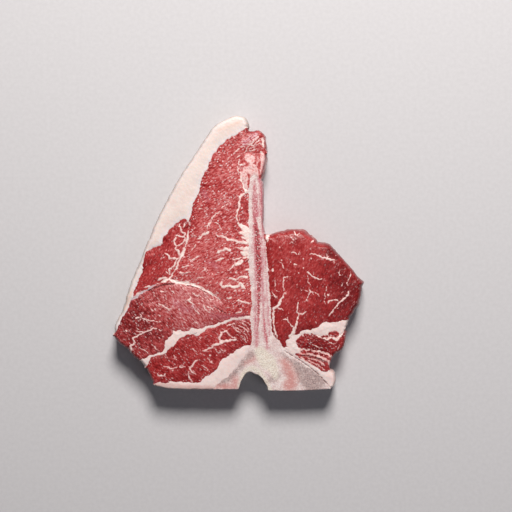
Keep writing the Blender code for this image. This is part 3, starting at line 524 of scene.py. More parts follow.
def nearest(points, targets):
    """Distance from each point to the nearest target, and that target's number, by the law of cosines."""
    square = (targets**2).sum(axis=1)
    gaps, picks = [], []
    for block in blocks(points):
        apart = square - 2 * block @ targets.T
        pick = apart.argmin(axis=1)
        picks.append(pick)
        gaps.append(np.hypot(*(block - targets[pick]).T))
    return np.concatenate(gaps), np.concatenate(picks)


# ---------------------------------------------------------------- the chart
def patches(size, seed, stretch=1.0, angle=0.0):
    """Random smooth patches about `size` mm across, with mean 0 and spread 1: white noise whose waves shorter
    than the size are faded out in the frequency plane.  Stretch draws them out along the angle."""
    noise = np.fft.rfft2(np.random.default_rng(seed).standard_normal(SHAPE))
    fy = np.fft.fftfreq(SHAPE[0], CELL)[:, None]
    fx = np.fft.rfftfreq(SHAPE[1], CELL)[None, :]
    c, s = math.cos(math.radians(angle)), math.sin(math.radians(angle))
    along, across = (c * fx + s * fy) * stretch, -s * fx + c * fy
    field = np.fft.irfft2(noise * np.exp(-(along**2 + across**2) * size**2 * 1.6), SHAPE)
    return (field - field.mean()) / field.std()


def read(layer, points):
    """The layer's value at each point, blended between the four cells round it."""
    place = (points - LOW) / CELL - 0.5
    place = np.clip(place, 0, np.array([SHAPE[1], SHAPE[0]]) - 1.001)
    column, row = place[:, 0].astype(int), place[:, 1].astype(int)
    u, v = place[:, 0] - column, place[:, 1] - row
    return ((layer[row, column] * (1 - u) + layer[row, column + 1] * u) * (1 - v)
            + (layer[row + 1, column] * (1 - u) + layer[row + 1, column + 1] * u) * v)


def dab(layer, points, half, reach):
    """Presses round dabs into the layer: each cell keeps the largest of half width minus distance."""
    span = int(math.ceil(reach / CELL))
    step = np.arange(-span, span + 1)
    down, across = (k.ravel() for k in np.meshgrid(step, step, indexing="ij"))
    for k in range(0, len(points), 2000):
        block, wide = points[k:k + 2000], half[k:k + 2000]
        column, row = (((block - LOW) / CELL).astype(int)).T
        rows, columns = row[:, None] + down, column[:, None] + across
        keep = (rows >= 0) & (rows < SHAPE[0]) & (columns >= 0) & (columns < SHAPE[1])
        x = LOW[0] + (columns + 0.5) * CELL - block[:, :1]
        y = LOW[1] + (rows + 0.5) * CELL - block[:, 1:]
        value = wide[:, None] - np.hypot(x, y)
        np.maximum.at(layer, (rows[keep], columns[keep]), value[keep])


def strokes(drawn, reach=2.5):
    """A layer of strokes: half the width minus the distance from the nearest stroke's line, in mm."""
    layer = np.full(SHAPE, -reach)
    widest = max(max(start, end) for start, end, _ in drawn) / 2
    points, half = [], []
    for start, end, route in drawn:
        run = spline(np.array(route, float) - CHART_ORIGIN, 0.35)
        points.append(run)
        half.append(np.linspace(start, end, len(run)) / 2)
    dab(layer, np.vstack(points), np.concatenate(half), reach + widest)
    return layer


def cells():
    """The middle of every cell, as rows of x and y."""
    x = LOW[0] + (np.arange(SHAPE[1]) + 0.5) * CELL
    y = LOW[1] + (np.arange(SHAPE[0]) + 0.5) * CELL
    return np.stack(np.meshgrid(x, y), axis=-1).reshape(-1, 2)


def shifted(layer, amount, size, seed):
    """The layer read through a slow random shift of up to about `amount` mm, so that its lines waver."""
    spots = cells()
    spots[:, 0] += amount * patches(size, seed).ravel()
    spots[:, 1] += amount * patches(size, seed + 1).ravel()
    return read(layer, spots).reshape(SHAPE)


def vein_layer():
    """Veins of fat: each stroke's spline wavers a little, swells and narrows along its way, is drawn out to a
    point at its ends, and sends thin twigs off its sides."""
    rng = np.random.default_rng(8)
    waver = [0.3 * patches(2.6, 44 + k) for k in (0, 1)]
    uneven = patches(2.0, 40)
    step = 0.25
    points, half = [], []
    for start, end, route in VEINS:
        run = spline(np.array(route, float) - CHART_ORIGIN, step)
        count = len(run)
        wide = VEIN_WIDTH * np.linspace(start, end, count) / 2
        if count > 6:
            from_start = step * np.arange(count)
            for to_end, tapers in ((from_start, start < 1.5 * end), (from_start[::-1], end < 1.5 * start)):
                wide = wide * (np.clip(0.35 + 0.65 * to_end / 2.0, 0, 1) if tapers and max(start, end) < 3.5 else 1)
            run = run + np.stack([read(layer, run) for layer in waver], axis=1)
            for at in rng.integers(2, count - 2, rng.poisson(count * step / TWIG_EVERY)):
                along = run[at + 2] - run[at - 2]
                angle = math.atan2(along[1], along[0]) + rng.choice((-1, 1)) * rng.uniform(0.6, 1.3)
                reach = np.arange(0, rng.uniform(1.2, 3.6), step)
                bend = angle + rng.normal(0, 0.2) * reach
                twig = run[at] + np.stack([np.cos(bend) * reach, np.sin(bend) * reach], axis=1)
                points.append(twig)
                half.append(np.linspace(0.22, 0.06, len(twig)))
        points.append(run)
        half.append(wide * np.clip(1 + 0.2 * read(uneven, run), 0.5, 1.6))
    layer = np.full(SHAPE, -2.5)
    dab(layer, np.vstack(points), np.concatenate(half), 4.5)
    return layer


def fleck_layer(outlines):
    """Short specks of marbling, strewn over each lean region along its own grain."""
    rng = np.random.default_rng(7)
    layer = np.full(SHAPE, -1.0)
    for region, density, length, width in FLECKS:
        loop = outlines[region]
        low, high = loop.min(axis=0), loop.max(axis=0)
        middle = rng.uniform(low, high, (int(density * np.prod(high - low) / 100), 2))
        middle = middle[inside(middle, loop)]
        count = len(middle)
        direction, spread, _ = GRAINS[region]
        angle = np.radians(direction + spread * rng.standard_normal(count) * 0.6)
        long = length * rng.lognormal(-0.1, 0.65, count)
        wide = width * rng.lognormal(-0.05, 0.45, count)
        bend = rng.normal(0, 0.3, count)
        for part in np.linspace(-0.5, 0.5, 11):
            turn = angle + bend * part * 2
            reach = (long * part)[:, None]
            spots = middle + reach * np.stack([np.cos(turn), np.sin(turn)], axis=1)
            dab(layer, spots, wide / 2 * (1 - 2.4 * part**2), 1.2)
    return layer


def seam_between(one, other, outlines):
    """The points of one region's outline that lie against the other's."""
    loop = outlines[one]
    gap, _ = nearest(loop, outlines[other])
    return loop[gap < 0.9]


# ---------------------------------------------------------------- laying out the chart
def lay_out_outlines():
    """Every region's fine outline: the CAD's, smoothed, grown by the clearance, and wavering like a real seam.
    The outside wavers less."""
    slow = [0.3 * patches(5.0, 21 + k) for k in (0, 1)]
    quick = [0.2 * patches(1.8, 31 + k) + 0.12 * patches(1.1, 33 + k) for k in (0, 1)]
    plain = {}
    for node in frame["nodes"]:
        loop = smooth_outline(cad_loop(node))
        plain[node] = loop + 0.2 * outward(loop)
    found = {}
    for node, loop in plain.items():
        others = np.vstack([other for name, other in plain.items() if name != node])
        free = np.clip(nearest(loop, others)[0] / 2.0, 0, 1)[:, None]
        slow_part = np.stack([read(layer, loop) for layer in slow], axis=1)
        quick_part = np.stack([read(layer, loop) for layer in quick], axis=1)
        found[node] = loop + (1 - 0.5 * free) * slow_part + (1 - free) * quick_part
    return found


def lay_out_layers(outlines):
    """Every layer of the chart, by name, in mm or as a share."""
    ragged = 0.12 * patches(1.3, 41) + 0.05 * patches(0.7, 42)
    film_layer = np.full(SHAPE, -2.5)
    for one, other, width in FILMS:
        seam = seam_between(one, other, outlines)
        half = width / 2 * np.clip(0.75 + 0.35 * read(patches(7.0, 43), seam), 0.15, 1.5)
        dab(film_layer, seam, half, 3.5)
    fat = np.maximum(np.maximum(vein_layer(), film_layer) + ragged, fleck_layer(outlines))

    tone = 0.5 + 0.04 * patches(10.0, 46) + 0.02 * patches(3.2, 47)
    spots = cells()
    # Painted sheen among these: the lighter patches on the strip loin and the lower loin
    for x, y, radius, change in SHADES:
        away = ((spots - (x, y))**2).sum(axis=1) / radius**2
        tone += (change * np.exp(-away)).reshape(SHAPE)
    for one, other, reach, change in DARK_EDGES:
        near = np.full(SHAPE, -2.5 * reach)
        seam = seam_between(one, other, outlines)[::2]
        dab(near, seam, np.zeros(len(seam)), 2.5 * reach)
        tone -= change * np.exp(-(near / reach)**2)

    return {
        "fat": fat, "tone": tone, "shaded_cleft": strokes(SHADED_CLEFTS) + ragged,
        "marrow": shifted(strokes(MARROW), 0.3, 2.5, 50) + ragged, "pink": strokes(PINK, 6.0), "salmon": strokes(SALMON, 6.0),
        "grey": strokes(GREY, 6.0), "cream": strokes(CREAM, 4.0),
        "bumps": 0.045 * patches(2.4, 51) + 0.03 * patches(1.1, 52),
        "waves": 0.17 * patches(13.0, 53) + 0.045 * patches(6.0, 54),
        "skin": patches(8.0, 55),
        "slant_x": 1.3 * patches(26.0, 56), "slant_y": 1.3 * patches(26.0, 57),
        "bend_x": 0.7 * patches(12.0, 58), "bend_y": 0.7 * patches(12.0, 59),
    }


class Rim:
    """The outside of the whole steak: its points, and how its edge is rounded along the way."""

    def __init__(self, outlines):
        points, sizes = [], []
        self.outer = {}
        for node, loop in outlines.items():
            others = np.vstack([other for name, other in outlines.items() if name != node])
            gap, _ = nearest(loop, others)
            free = gap > 1.2
            self.outer[node] = free
            size = np.tile(RIMS.get(node, SOFT_RIM), (len(loop), 1)).astype(float)
            if node == "t_bone":
                size[loop[:, 1] > 0] = RIB_RIM
            points.append(loop[free])
            sizes.append(size[free])
        self.points = np.vstack(points)
        run = np.roll(self.points, -1, axis=0) - np.roll(self.points, 1, axis=0)
        stride = np.linalg.norm(run, axis=1, keepdims=True)
        self.along = np.where(stride < 3, run / np.maximum(stride, 1e-6), 0)
        sizes = np.vstack(sizes)
        weight = np.exp(-((self.points[:, None] - self.points)**2).sum(axis=2) / 2.5**2)
        self.sizes = weight @ sizes / weight.sum(axis=1, keepdims=True)

    def drop(self, spots):
        """How far the upper rim has fallen: a quarter ellipse that ends on the outline."""
        gap, pick = nearest(spots, self.points)
        reach, depth = self.sizes[pick].T
        return depth * (1 - np.sqrt(1 - np.clip(1 - gap / reach, 0, 1)**2))

    def rise(self, spots):
        """How far the lower rim has risen off the ground."""
        gap, pick = nearest(spots, self.points)
        radius = np.minimum(LOWER_RIM, self.sizes[pick, 0])
        return radius * (1 - np.sqrt(1 - np.clip(1 - gap / radius, 0, 1)**2))

    def rings(self, loop, free):
        """Points inside the free stretches of a loop, closer together towards the edge, where the rim is steep."""
        if not free.any():
            return []
        _, pick = nearest(loop[free], self.points)
        reach = self.sizes[pick, :1]
        inward = -outward(loop)[free]
        shares = [1 - math.sin(math.radians(angle)) for angle in (79, 67, 55, 43, 31, 18)]
        return [(loop[free] + inward * reach * share, reach[:, 0] * share) for share in shares]


# ---------------------------------------------------------------- meshes
def hex_grid(loop, spacing, seed):
    """Staggered rows of points over the loop's box, each nudged a little."""
    low, high = loop.min(axis=0), loop.max(axis=0)
    x, y = np.meshgrid(np.arange(low[0], high[0], spacing), np.arange(low[1], high[1], spacing * 0.866))
    x[1::2] += spacing / 2
    grid = np.stack([x.ravel(), y.ravel()], axis=1)
    return grid + np.random.default_rng(seed).uniform(-0.12, 0.12, grid.shape) * spacing


def filled(loop, extra):
    """Triangles that fill the loop and use the extra points.  The loop's points come first, in order."""
    spots = np.vstack([loop, extra])
    edges = [(i, (i + 1) % len(loop)) for i in range(len(loop))]
    found, _, faces, origins, _, _ = delaunay_2d_cdt([Vector(p) for p in spots], edges, [], 1, 1e-6)
    place = np.full(len(spots), -1)
    for k, group in enumerate(origins):
        place[list(group)] = k
    order = np.concatenate([place[:len(loop)], np.setdiff1d(np.arange(len(found)), place[:len(loop)])])
    renumber = np.empty(len(found), int)
    renumber[order] = np.arange(len(found))
    return np.array([tuple(p) for p in found])[order], renumber[np.array(faces)]


def face_points(loop, extra_rings, spacing, seed, fine=None):
    """Grid points and rim rings that lie in the loop, clear of it and of each other.  Near a fine spot the grid
    gives way to the fine spots."""
    grid = hex_grid(loop, spacing, seed)
    grid = grid[inside(grid, loop)]
    grid = grid[loop_distance(grid, loop) > 0.55 * spacing]
    if fine is not None:
        grid = grid[np.abs(read(fine, grid)) > FINE_BAND]
        close = cells()[(np.abs(fine) <= FINE_BAND).ravel()]
        low, high = loop.min(axis=0), loop.max(axis=0)
        close = close[((close > low) & (close < high)).all(axis=1)]
        close = close[inside(close, loop)]
        close = close[loop_distance(close, loop) > 0.2]
        grid = np.vstack([grid, close])
    kept = []
    for ring, depth in extra_rings:
        good = inside(ring, loop)
        ring, depth = ring[good], depth[good]
        good = loop_distance(ring, loop) > 0.8 * depth
        kept.append(ring[good])
    if not kept:
        return grid
    rings = np.vstack(kept)
    gap, _ = nearest(grid, rings)
    return np.vstack([rings, grid[gap > 0.4 * spacing]])


def build_piece(node, outlines, layers, rim, material, seed):
    """One tissue as a closed mesh.  The cut face is a triangle net whose height is the seam level, plus a slow
    swell, plus the dome that rises from the outline, less the rounded rim and the furrows.  The wall is rings
    of points from the face's edge to the underside's, pushed out where nothing lies against it."""
    loop, free = outlines[node], rim.outer[node]
    fine = layers["fat"] if node in GRAINS else None
    top, top_faces = filled(loop, face_points(loop, rim.rings(loop, free), FACET, seed, fine))
    low, low_faces = filled(loop, face_points(loop, [], UNDER_FACET, seed + 50))
    gap = loop_distance(top, loop)
    swell = SWELL * np.sin((top[:, 0] + CHART_ORIGIN[0]) / 31) * np.cos((top[:, 1] + CHART_ORIGIN[1]) / 37)
    dome = DOMES[node] * (1 - np.exp(-gap / DOME_REACH))
    calm = CALM.get(node, 1.0)
    evened = calm + (1 - calm) * np.exp(-gap / 1.5)
    relief = evened * read(layers["waves"], top) + calm * read(layers["bumps"], top)
    raised = np.clip((read(layers["fat"], top) + 0.1) / 0.5, 0, 1) * (1 - np.exp(-gap / 0.8))
    relief += 0.16 * raised * (node != "t_bone")
    relief -= 0.7 * np.clip((read(layers["shaded_cleft"], top) + 0.15) / 0.4, 0, 1)
    seam_dip = 0.06 * np.exp(-(gap / 0.3)**2)
    top_z = SEAM_LEVEL + swell + dome + relief - seam_dip - rim.drop(top)
    low_z = rim.rise(low)

    count = len(loop)
    share = np.linspace(0, 1, WALL_ROWS + 1)[1:-1, None]
    upper, lower = top_z[None, :count], low_z[None, :count]
    wall_z = upper + (lower - upper) * share
    ease = np.convolve(np.tile(free.astype(float), 3), np.ones(5) / 5, "same")[count:2 * count]
    push = 0.55 * np.sin(np.pi * share) * ease[None]
    lean = loop[None] + np.stack([wall_z * 0.8, wall_z * 0.6], axis=-1)
    rough = 2.2 * read(layers["waves"], lean.reshape(-1, 2)) + 2.0 * read(layers["bumps"], lean.reshape(-1, 2))
    rough = rough.reshape(wall_z.shape)
    push = push + rough * calm * ease[None] * np.sin(np.pi * share)
    wall_xy = loop[None] + outward(loop)[None] * push[..., None]

    xyz = np.vstack([
        np.column_stack([top, top_z]),
        np.column_stack([wall_xy.reshape(-1, 2), wall_z.ravel()]),
        np.column_stack([low, low_z]),
    ])
    xyz[:, :2] += slanted(xyz, layers, rim)
    start_wall, start_low = len(top), len(top) + wall_z.size
    here = np.arange(count)
    rings = np.vstack([here, start_wall + np.arange(wall_z.size).reshape(-1, count), start_low + here])
    ahead = np.roll(rings, -1, axis=1)
    quads = np.stack([rings[:-1], rings[1:], ahead[1:], ahead[:-1]], axis=-1).reshape(-1, 4)
    triangles = np.vstack([top_faces, start_low + low_faces[:, ::-1]])

    mesh = bpy.data.meshes.new(node)
    mesh.from_pydata((xyz * METRES).tolist(), [], triangles.tolist() + quads.tolist())
    mesh.shade_smooth()
    sharpen_seam(mesh, free)
    drift = np.stack([read(layers["skin"], lean.reshape(-1, 2) + k * 40) for k in (0, 1)], axis=1)
    inward = -np.tile(outward(loop), (WALL_ROWS - 1, 1))
    spots = xyz[:, :2].copy()
    spots[start_wall:start_low] += inward * (1.6 + 0.9 * drift[:, :1]) + 1.6 * drift[:, 1:] * inward[:, ::-1] * (1, -1)
    spots[start_low:] += UNDER_SHIFT
    for name in ("fat", "tone", "shaded_cleft", "marrow", "pink", "salmon", "grey", "cream"):
        put_attribute(mesh, name, read(layers[name], spots))
    edge = np.concatenate([gap, np.zeros(wall_z.size), loop_distance(low, loop)])
    put_attribute(mesh, "edge", edge)
    side = np.concatenate([1 - np.clip(nearest(top, rim.points)[0] / 3.0, 0, 1),
                           np.ones(wall_z.size), np.zeros(len(low))])
    put_attribute(mesh, "side", side)
    put_unwrap(mesh, xyz, len(top_faces), len(low_faces), loop, start_wall, start_low)
    mesh.materials.append(material)
    piece = bpy.data.objects.new(node + "_tissue", mesh)
    bpy.context.scene.collection.objects.link(piece)
    return piece


def slanted(xyz, layers, rim):
    """How far the tissues run aside below the cut face: a slant that grows with the depth, plus a bend that is
    widest half way down.  It is the same for neighbours, so their seam stays closed.  Towards the outer sides
    only its share along the outline is left, and it fades out at the sawn chine edge, which is plane."""
    depth = np.clip(1 - xyz[:, 2] / SEAM_LEVEL, 0, 1)
    bow = np.sin(np.pi * depth)
    aside = np.stack([depth * read(layers["slant_" + axis], xyz[:, :2])
                      + bow * read(layers["bend_" + axis], xyz[:, :2]) for axis in "xy"], axis=1)
    gap, pick = nearest(xyz[:, :2], rim.points)
    along = rim.along[pick]
    along = along * (aside * along).sum(axis=1, keepdims=True)
    deep = np.clip(gap / 12, 0, 1)[:, None]
    sawn = np.clip((xyz[:, 1:2] - LOW[1] - MARGIN) / SAWN_REACH, 0, 1)
    return sawn * (along + (aside - along) * deep)


def sharpen_seam(mesh, free):
    """Marks the rim of the cut face as a crease where a neighbour lies against it.  The rim's points come first."""
    ends = np.empty(2 * len(mesh.edges), int)
    mesh.edges.foreach_get("vertices", ends)
    one, other = ends.reshape(-1, 2).T
    count = len(free)
    apart = np.abs(one - other)
    rim = (np.maximum(one, other) < count) & ((apart == 1) | (apart == count - 1))
    crease = rim & ~free[np.minimum(one, count - 1)]
    mesh.attributes.new("sharp_edge", "BOOLEAN", "EDGE").data.foreach_set("value", crease)


def put_attribute(mesh, name, values):
    attribute = mesh.attributes.new(name, "FLOAT", "POINT")
    attribute.data.foreach_set("value", np.asarray(values, np.float32))


def put_unwrap(mesh, xyz, top_count, low_count, loop, start_wall, start_low):
    """The unwrap for baking: cut face and underside side by side, and the wall in rows below them."""
    corner_vertex = np.empty(len(mesh.loops), int)
    mesh.loops.foreach_get("vertex_index", corner_vertex)
    place = xyz[corner_vertex]
    low, high = loop.min(axis=0) - 1, loop.max(axis=0) + 1
    width, depth = high - low
    uv = place[:, :2] - low
    on_low = np.zeros(len(uv), bool)
    on_low[3 * top_count:3 * (top_count + low_count)] = True
    uv[on_low, 0] += width + 1
    row_length = 2 * width
    along = np.concatenate([[0], np.cumsum(np.linalg.norm(np.diff(loop, axis=0, append=loop[:1]), axis=1))])
    first = 3 * (top_count + low_count)
    quads = corner_vertex[first:].reshape(-1, 4)
    column = np.tile(np.arange(len(loop)), len(quads) // len(loop))
    ends = np.stack([along[column], along[column], along[column + 1], along[column + 1]], axis=1)
    row = (along[column] // row_length)[:, None]
    wall_u = ends - row * row_length
    wall_v = depth + 2 + row * (SEAM_LEVEL + 5) + place[first:, 2].reshape(-1, 4)
    uv[first:, 0], uv[first:, 1] = wall_u.ravel(), wall_v.ravel()
    uv = (uv + 0.5) / (uv.max() + 1.5)
    layer = mesh.uv_layers.new(name="OFBake")
    layer.data.foreach_set("uv", uv.astype(np.float32).ravel())


# ---------------------------------------------------------------- materials
def linear(hex_colour):
    """An sRGB hex colour as linear red, green, blue and alpha."""
    parts = [int(hex_colour[k:k + 2], 16) / 255 for k in (1, 3, 5)]
    return [p / 12.92 if p <= 0.04045 else ((p + 0.055) / 1.055)**2.4 for p in parts] + [1.0]


def add(tree, kind, inputs=None, **settings):
    """Adds a node with its settings.  An input given as a node or a socket is linked, any other is a value."""
    node = tree.nodes.new("ShaderNode" + kind)
    for name, value in settings.items():
        setattr(node, name, value)
    for name, value in (inputs or {}).items():
        if isinstance(value, bpy.types.Node):
            value = value.outputs[0]
        if isinstance(value, bpy.types.NodeSocket):
            tree.links.new(value, node.inputs[name])
        else:
            node.inputs[name].default_value = value
    return node


def start_material(name, **shader_values):
    """A material with a Principled shader, and its coordinates in metres."""
    material = bpy.data.materials.new(name)
    material.use_nodes = True
    tree = material.node_tree
    shader = tree.nodes["Principled BSDF"]
    for key, value in shader_values.items():
        shader.inputs[key.replace("_", " ")].default_value = value
    place = add(tree, "TexCoord").outputs["Object"]
    return material, tree, shader, place


def share(tree, value, low, high):
    """A smooth step from 0 at `low` to 1 at `high`."""
    return add(tree, "MapRange", {0: value, 1: low, 2: high, 3: 0.0, 4: 1.0}, interpolation_type="SMOOTHSTEP")


def math_of(tree, operation, one, two):
    return add(tree, "Math", {0: one, 1: two}, operation=operation)


def attribute(tree, name):
    return add(tree, "Attribute", attribute_name=name).outputs["Fac"]


def mixed(tree, amount, one, two):
    """One colour laid over another by an amount."""
    node = add(tree, "Mix", {0: amount, 6: one, 7: two}, data_type="RGBA")
    return node.outputs[2]


def jitter(tree, place, size_mm, amount, detail=3.0):
    """Noise of that size, centred on nought, with that much swing."""
    noise = add(tree, "TexNoise", {"Vector": place, "Scale": 1000 / size_mm, "Detail": detail})
    return math_of(tree, "MULTIPLY", math_of(tree, "SUBTRACT", noise, 0.5), amount)


def muscle(name, reds, creams, direction, speck_show, raggedness):
    """Raw beef muscle cut across its fibres and bloomed in air.  Its grain runs in one direction: thin bundles,
    lighter and darker by turns, with pale specks between them that are partly fat and partly painted glints.  Fat
    veins lie in it as opaque cream, and a film of meat juice glints on the grain.  Lilac patches of painted sheen
    lie over it, and its clefts are painted dark as shade.  Its outer sides carry a torn, milky skin."""
    deep, middle, pale = (linear(red) for red in reds)
    thin_cream, thick_cream = (linear(cream) for cream in creams)
    material, tree, shader, place = start_material(
        name, IOR=1.38, Subsurface_Weight=0.06, Subsurface_Radius=(0.0024, 0.0005, 0.0004), Subsurface_Scale=1.0)
    grain = add(tree, "Mapping", {"Vector": place, "Rotation": (0, 0, math.radians(direction)),
                                  "Scale": (2.4, 1, 6)}, vector_type="TEXTURE")
    fibres = jitter(tree, grain, 1.1, 0.6 + 1.5 * speck_show, 4.0)
    tone = math_of(tree, "ADD", attribute(tree, "tone"), fibres)
    ramp = add(tree, "ValToRGB", {0: tone})
    ramp.color_ramp.elements[0].position, ramp.color_ramp.elements[1].position = 0.15, 0.9
    ramp.color_ramp.elements[0].color, ramp.color_ramp.elements[1].color = deep, pale
    ramp.color_ramp.elements.new(0.5).color = middle
    side = attribute(tree, "side")
    lean = mixed(tree, math_of(tree, "MULTIPLY", side, 0.35), ramp, deep)
    # Pale specks along the grain: partly specks of fat, partly painted glints
    speckles = add(tree, "TexVoronoi", {"Vector": grain, "Scale": 1000 / 1.1, "Randomness": 1.0}, feature="F1")
    chosen = add(tree, "SeparateColor", {"Color": speckles.outputs["Color"]}).outputs["Red"]
    radius = math_of(tree, "MULTIPLY", share(tree, chosen, 0.5, 1.0), 0.42)
    fleck_and_glint = share(tree, math_of(tree, "SUBTRACT", radius, speckles.outputs["Distance"]), -0.1, 0.14)
    lean = mixed(tree, math_of(tree, "MULTIPLY", fleck_and_glint, speck_show), lean, linear("#e6c3c4"))
    # Pale dots in crowds: partly fine marbling, partly painted glints
    dots = add(tree, "TexVoronoi", {"Vector": place, "Scale": 1000 / 1.7, "Randomness": 1.0}, feature="F1")
    picked = add(tree, "SeparateColor", {"Color": dots.outputs["Color"]}).outputs["Green"]
    dot_and_glint = share(tree, math_of(tree, "SUBTRACT", math_of(tree, "MULTIPLY", share(tree, picked, 0.45, 1.0), 0.36),
                              dots.outputs["Distance"]), -0.05, 0.06)
    crowd = share(tree, add(tree, "TexNoise", {"Vector": place, "Scale": 1000 / 13, "Detail": 3.0}), 0.4, 0.6)
    dot_and_glint = math_of(tree, "MULTIPLY", dot_and_glint, math_of(tree, "MULTIPLY", crowd, 4.5 * max(speck_show - 0.53, 0)))
    lean = mixed(tree, dot_and_glint, lean, linear("#e8ccd0"))
    # Painted glints: tiny pale spots that stand in for wet highlights
    painted_glints = share(tree, add(tree, "TexNoise", {"Vector": place, "Scale": 1000 / 1.2, "Detail": 2.0}), 0.6, 0.72)
    lean = mixed(tree, math_of(tree, "MULTIPLY", painted_glints, 1.1 * speck_show), lean, linear("#d59a9c"))
    fringe = share(tree, attribute(tree, "fat"), -0.7, 0.1)
    lean = mixed(tree, math_of(tree, "MULTIPLY", fringe, 0.15), lean, linear("#c97a78"))
    # Painted sheen: lilac patches on the lean stand in for a soft highlight
    painted_sheen = share(tree, math_of(tree, "ADD", attribute(tree, "salmon"), jitter(tree, place, 2.4, 5.0)), -3.0, 2.4)
    lean = mixed(tree, math_of(tree, "MULTIPLY", painted_sheen, 0.3), lean, linear("#bb7a8c"))
    milky = share(tree, add(tree, "TexNoise", {"Vector": place, "Scale": 1000 / 9, "Detail": 5.0}), 0.46, 0.68)
    milky = math_of(tree, "MULTIPLY", math_of(tree, "MULTIPLY", milky, share(tree, side, 0.75, 1.0)), 0.3)
    lean = mixed(tree, milky, lean, linear("#cfa3a0"))
    vein = share(tree, math_of(tree, "ADD", attribute(tree, "fat"), jitter(tree, place, 1.0, raggedness)), -0.1, 0.1)
    creamy = mixed(tree, share(tree, attribute(tree, "fat"), 0.0, 0.8), thin_cream, thick_cream)
    blush = share(tree, add(tree, "TexNoise", {"Vector": place, "Scale": 1000 / (2.2 - raggedness / 2), "Detail": 5.0}), 0.49, 0.62)
    creamy = mixed(tree, math_of(tree, "MULTIPLY", blush, 0.26 + raggedness / 3), creamy,
                   linear("#cd7573" if raggedness > 1 else "#d88f8c"))
    # The painted sheen lies over the veins too
    creamy = mixed(tree, math_of(tree, "MULTIPLY", painted_sheen, 0.7), creamy, linear("#cd95a6"))
    silver = share(tree, math_of(tree, "ADD", attribute(tree, "grey"), jitter(tree, place, 1.2, 1.2)), -0.6, 0.8)
    creamy = mixed(tree, math_of(tree, "MULTIPLY", silver, 0.7), creamy, linear("#a793a0"))
    colour = mixed(tree, vein, lean, creamy)
    # Painted shade: the clefts are darkened as if shadowed
    shaded_cleft = share(tree, attribute(tree, "shaded_cleft"), -0.2, 0.25)
    colour = mixed(tree, math_of(tree, "MULTIPLY", shaded_cleft, 0.75), colour, linear("#4c1412"))
    tree.links.new(colour, shader.inputs["Base Color"])
    wet = math_of(tree, "ADD", jitter(tree, place, 6.0, 0.2), 0.36)
    tree.links.new(math_of(tree, "ADD", wet, math_of(tree, "MULTIPLY", vein, 0.15)).outputs[0],
                   shader.inputs["Roughness"])
    height = math_of(tree, "ADD", math_of(tree, "MULTIPLY", fibres, 0.8), jitter(tree, place, 1.3, 0.8, 4.0))
    bump = add(tree, "Bump", {"Height": height, "Distance": 0.00022, "Strength": 0.8})
    tree.links.new(bump.outputs[0], shader.inputs["Normal"])
    return material


def fat_tissue(name, pale, warm, near, blush, blush_amount, worn_and_shaded, stain):
    """Hard beef fat: opaque, waxy and close-grained, off-white where thick, with a pink blush where lean or
    blood lies under it, and faint threads of connective tissue."""
    material, tree, shader, place = start_material(
        name, IOR=1.44, Subsurface_Weight=0.2, Subsurface_Radius=(0.0040, 0.0022, 0.0016), Subsurface_Scale=1.0)
    drift = share(tree, add(tree, "TexNoise", {"Vector": place, "Scale": 1000 / 14, "Detail": 4.0}), 0.3, 0.7)
    colour = mixed(tree, drift, linear(pale), linear(warm))
    pink = share(tree, add(tree, "TexNoise", {"Vector": place, "Scale": 1000 / 5.5, "Detail": 5.0}), 0.5, 0.75)
    colour = mixed(tree, math_of(tree, "MULTIPLY", pink, blush_amount), colour, linear(blush))
    inner = math_of(tree, "SUBTRACT", 1.0, attribute(tree, "side"))
    edge = math_of(tree, "ADD", attribute(tree, "edge"), jitter(tree, place, 2.6, 3.0))
    rind = math_of(tree, "MULTIPLY", share(tree, edge, 4.6, 0.8), math_of(tree, "MULTIPLY", inner, 0.7))
    colour = mixed(tree, rind, colour, linear(near))
    edge = math_of(tree, "ADD", attribute(tree, "edge"), jitter(tree, place, 1.2, 1.2))
    colour = mixed(tree, math_of(tree, "MULTIPLY", share(tree, edge, 0.7, 0.0), 0.4), colour, linear(blush))
    threads = add(tree, "TexVoronoi", {"Vector": place, "Scale": 1000 / 3.0}, feature="DISTANCE_TO_EDGE")
    thread = share(tree, threads, 0.05, 0.0)
    colour = mixed(tree, math_of(tree, "MULTIPLY", thread, 0.18), colour, linear("#f7ece4"))
    # Painted shade: the clefts are darkened as if shadowed
    shaded_cleft = share(tree, attribute(tree, "shaded_cleft"), -0.2, 0.25)
    colour = mixed(tree, math_of(tree, "MULTIPLY", shaded_cleft, 0.6), colour, linear("#7a3a34"))
    crease = share(tree, math_of(tree, "ADD", attribute(tree, "salmon"), jitter(tree, place, 2.0, 2.0)), -1.4, 1.2)
    colour = mixed(tree, math_of(tree, "MULTIPLY", crease, 0.5), colour, linear(stain))
    upright = add(tree, "Mapping", {"Vector": place, "Scale": (1, 1, 6)}, vector_type="TEXTURE")
    strand = share(tree, jitter(tree, upright, 2.4, 2.0, 4.0), 0.0, 0.6)
    strand = math_of(tree, "MULTIPLY", strand, math_of(tree, "MULTIPLY", attribute(tree, "side"), 0.35))
    colour = mixed(tree, strand, colour, linear(blush))
    # The outer sides turn greyer: partly worn, drier fat, partly painted shade at the rim and on the walls
    outer = share(tree, math_of(tree, "ADD", attribute(tree, "side"), jitter(tree, place, 3.0, 0.5)), 0.1, 0.7)
    colour = mixed(tree, math_of(tree, "MULTIPLY", outer, 0.4), colour, linear(worn_and_shaded))
    tree.links.new(colour, shader.inputs["Base Color"])
    tree.links.new(math_of(tree, "ADD", jitter(tree, place, 4.0, 0.2), 0.46).outputs[0], shader.inputs["Roughness"])
    height = math_of(tree, "ADD", jitter(tree, place, 1.2, 1.6, 5.0), math_of(tree, "MULTIPLY", thread, -0.3))
    bump = add(tree, "Bump", {"Height": height, "Distance": 0.00007, "Strength": 0.5})
    tree.links.new(bump.outputs[0], shader.inputs["Normal"])
    return material, tree, shader, place, colour


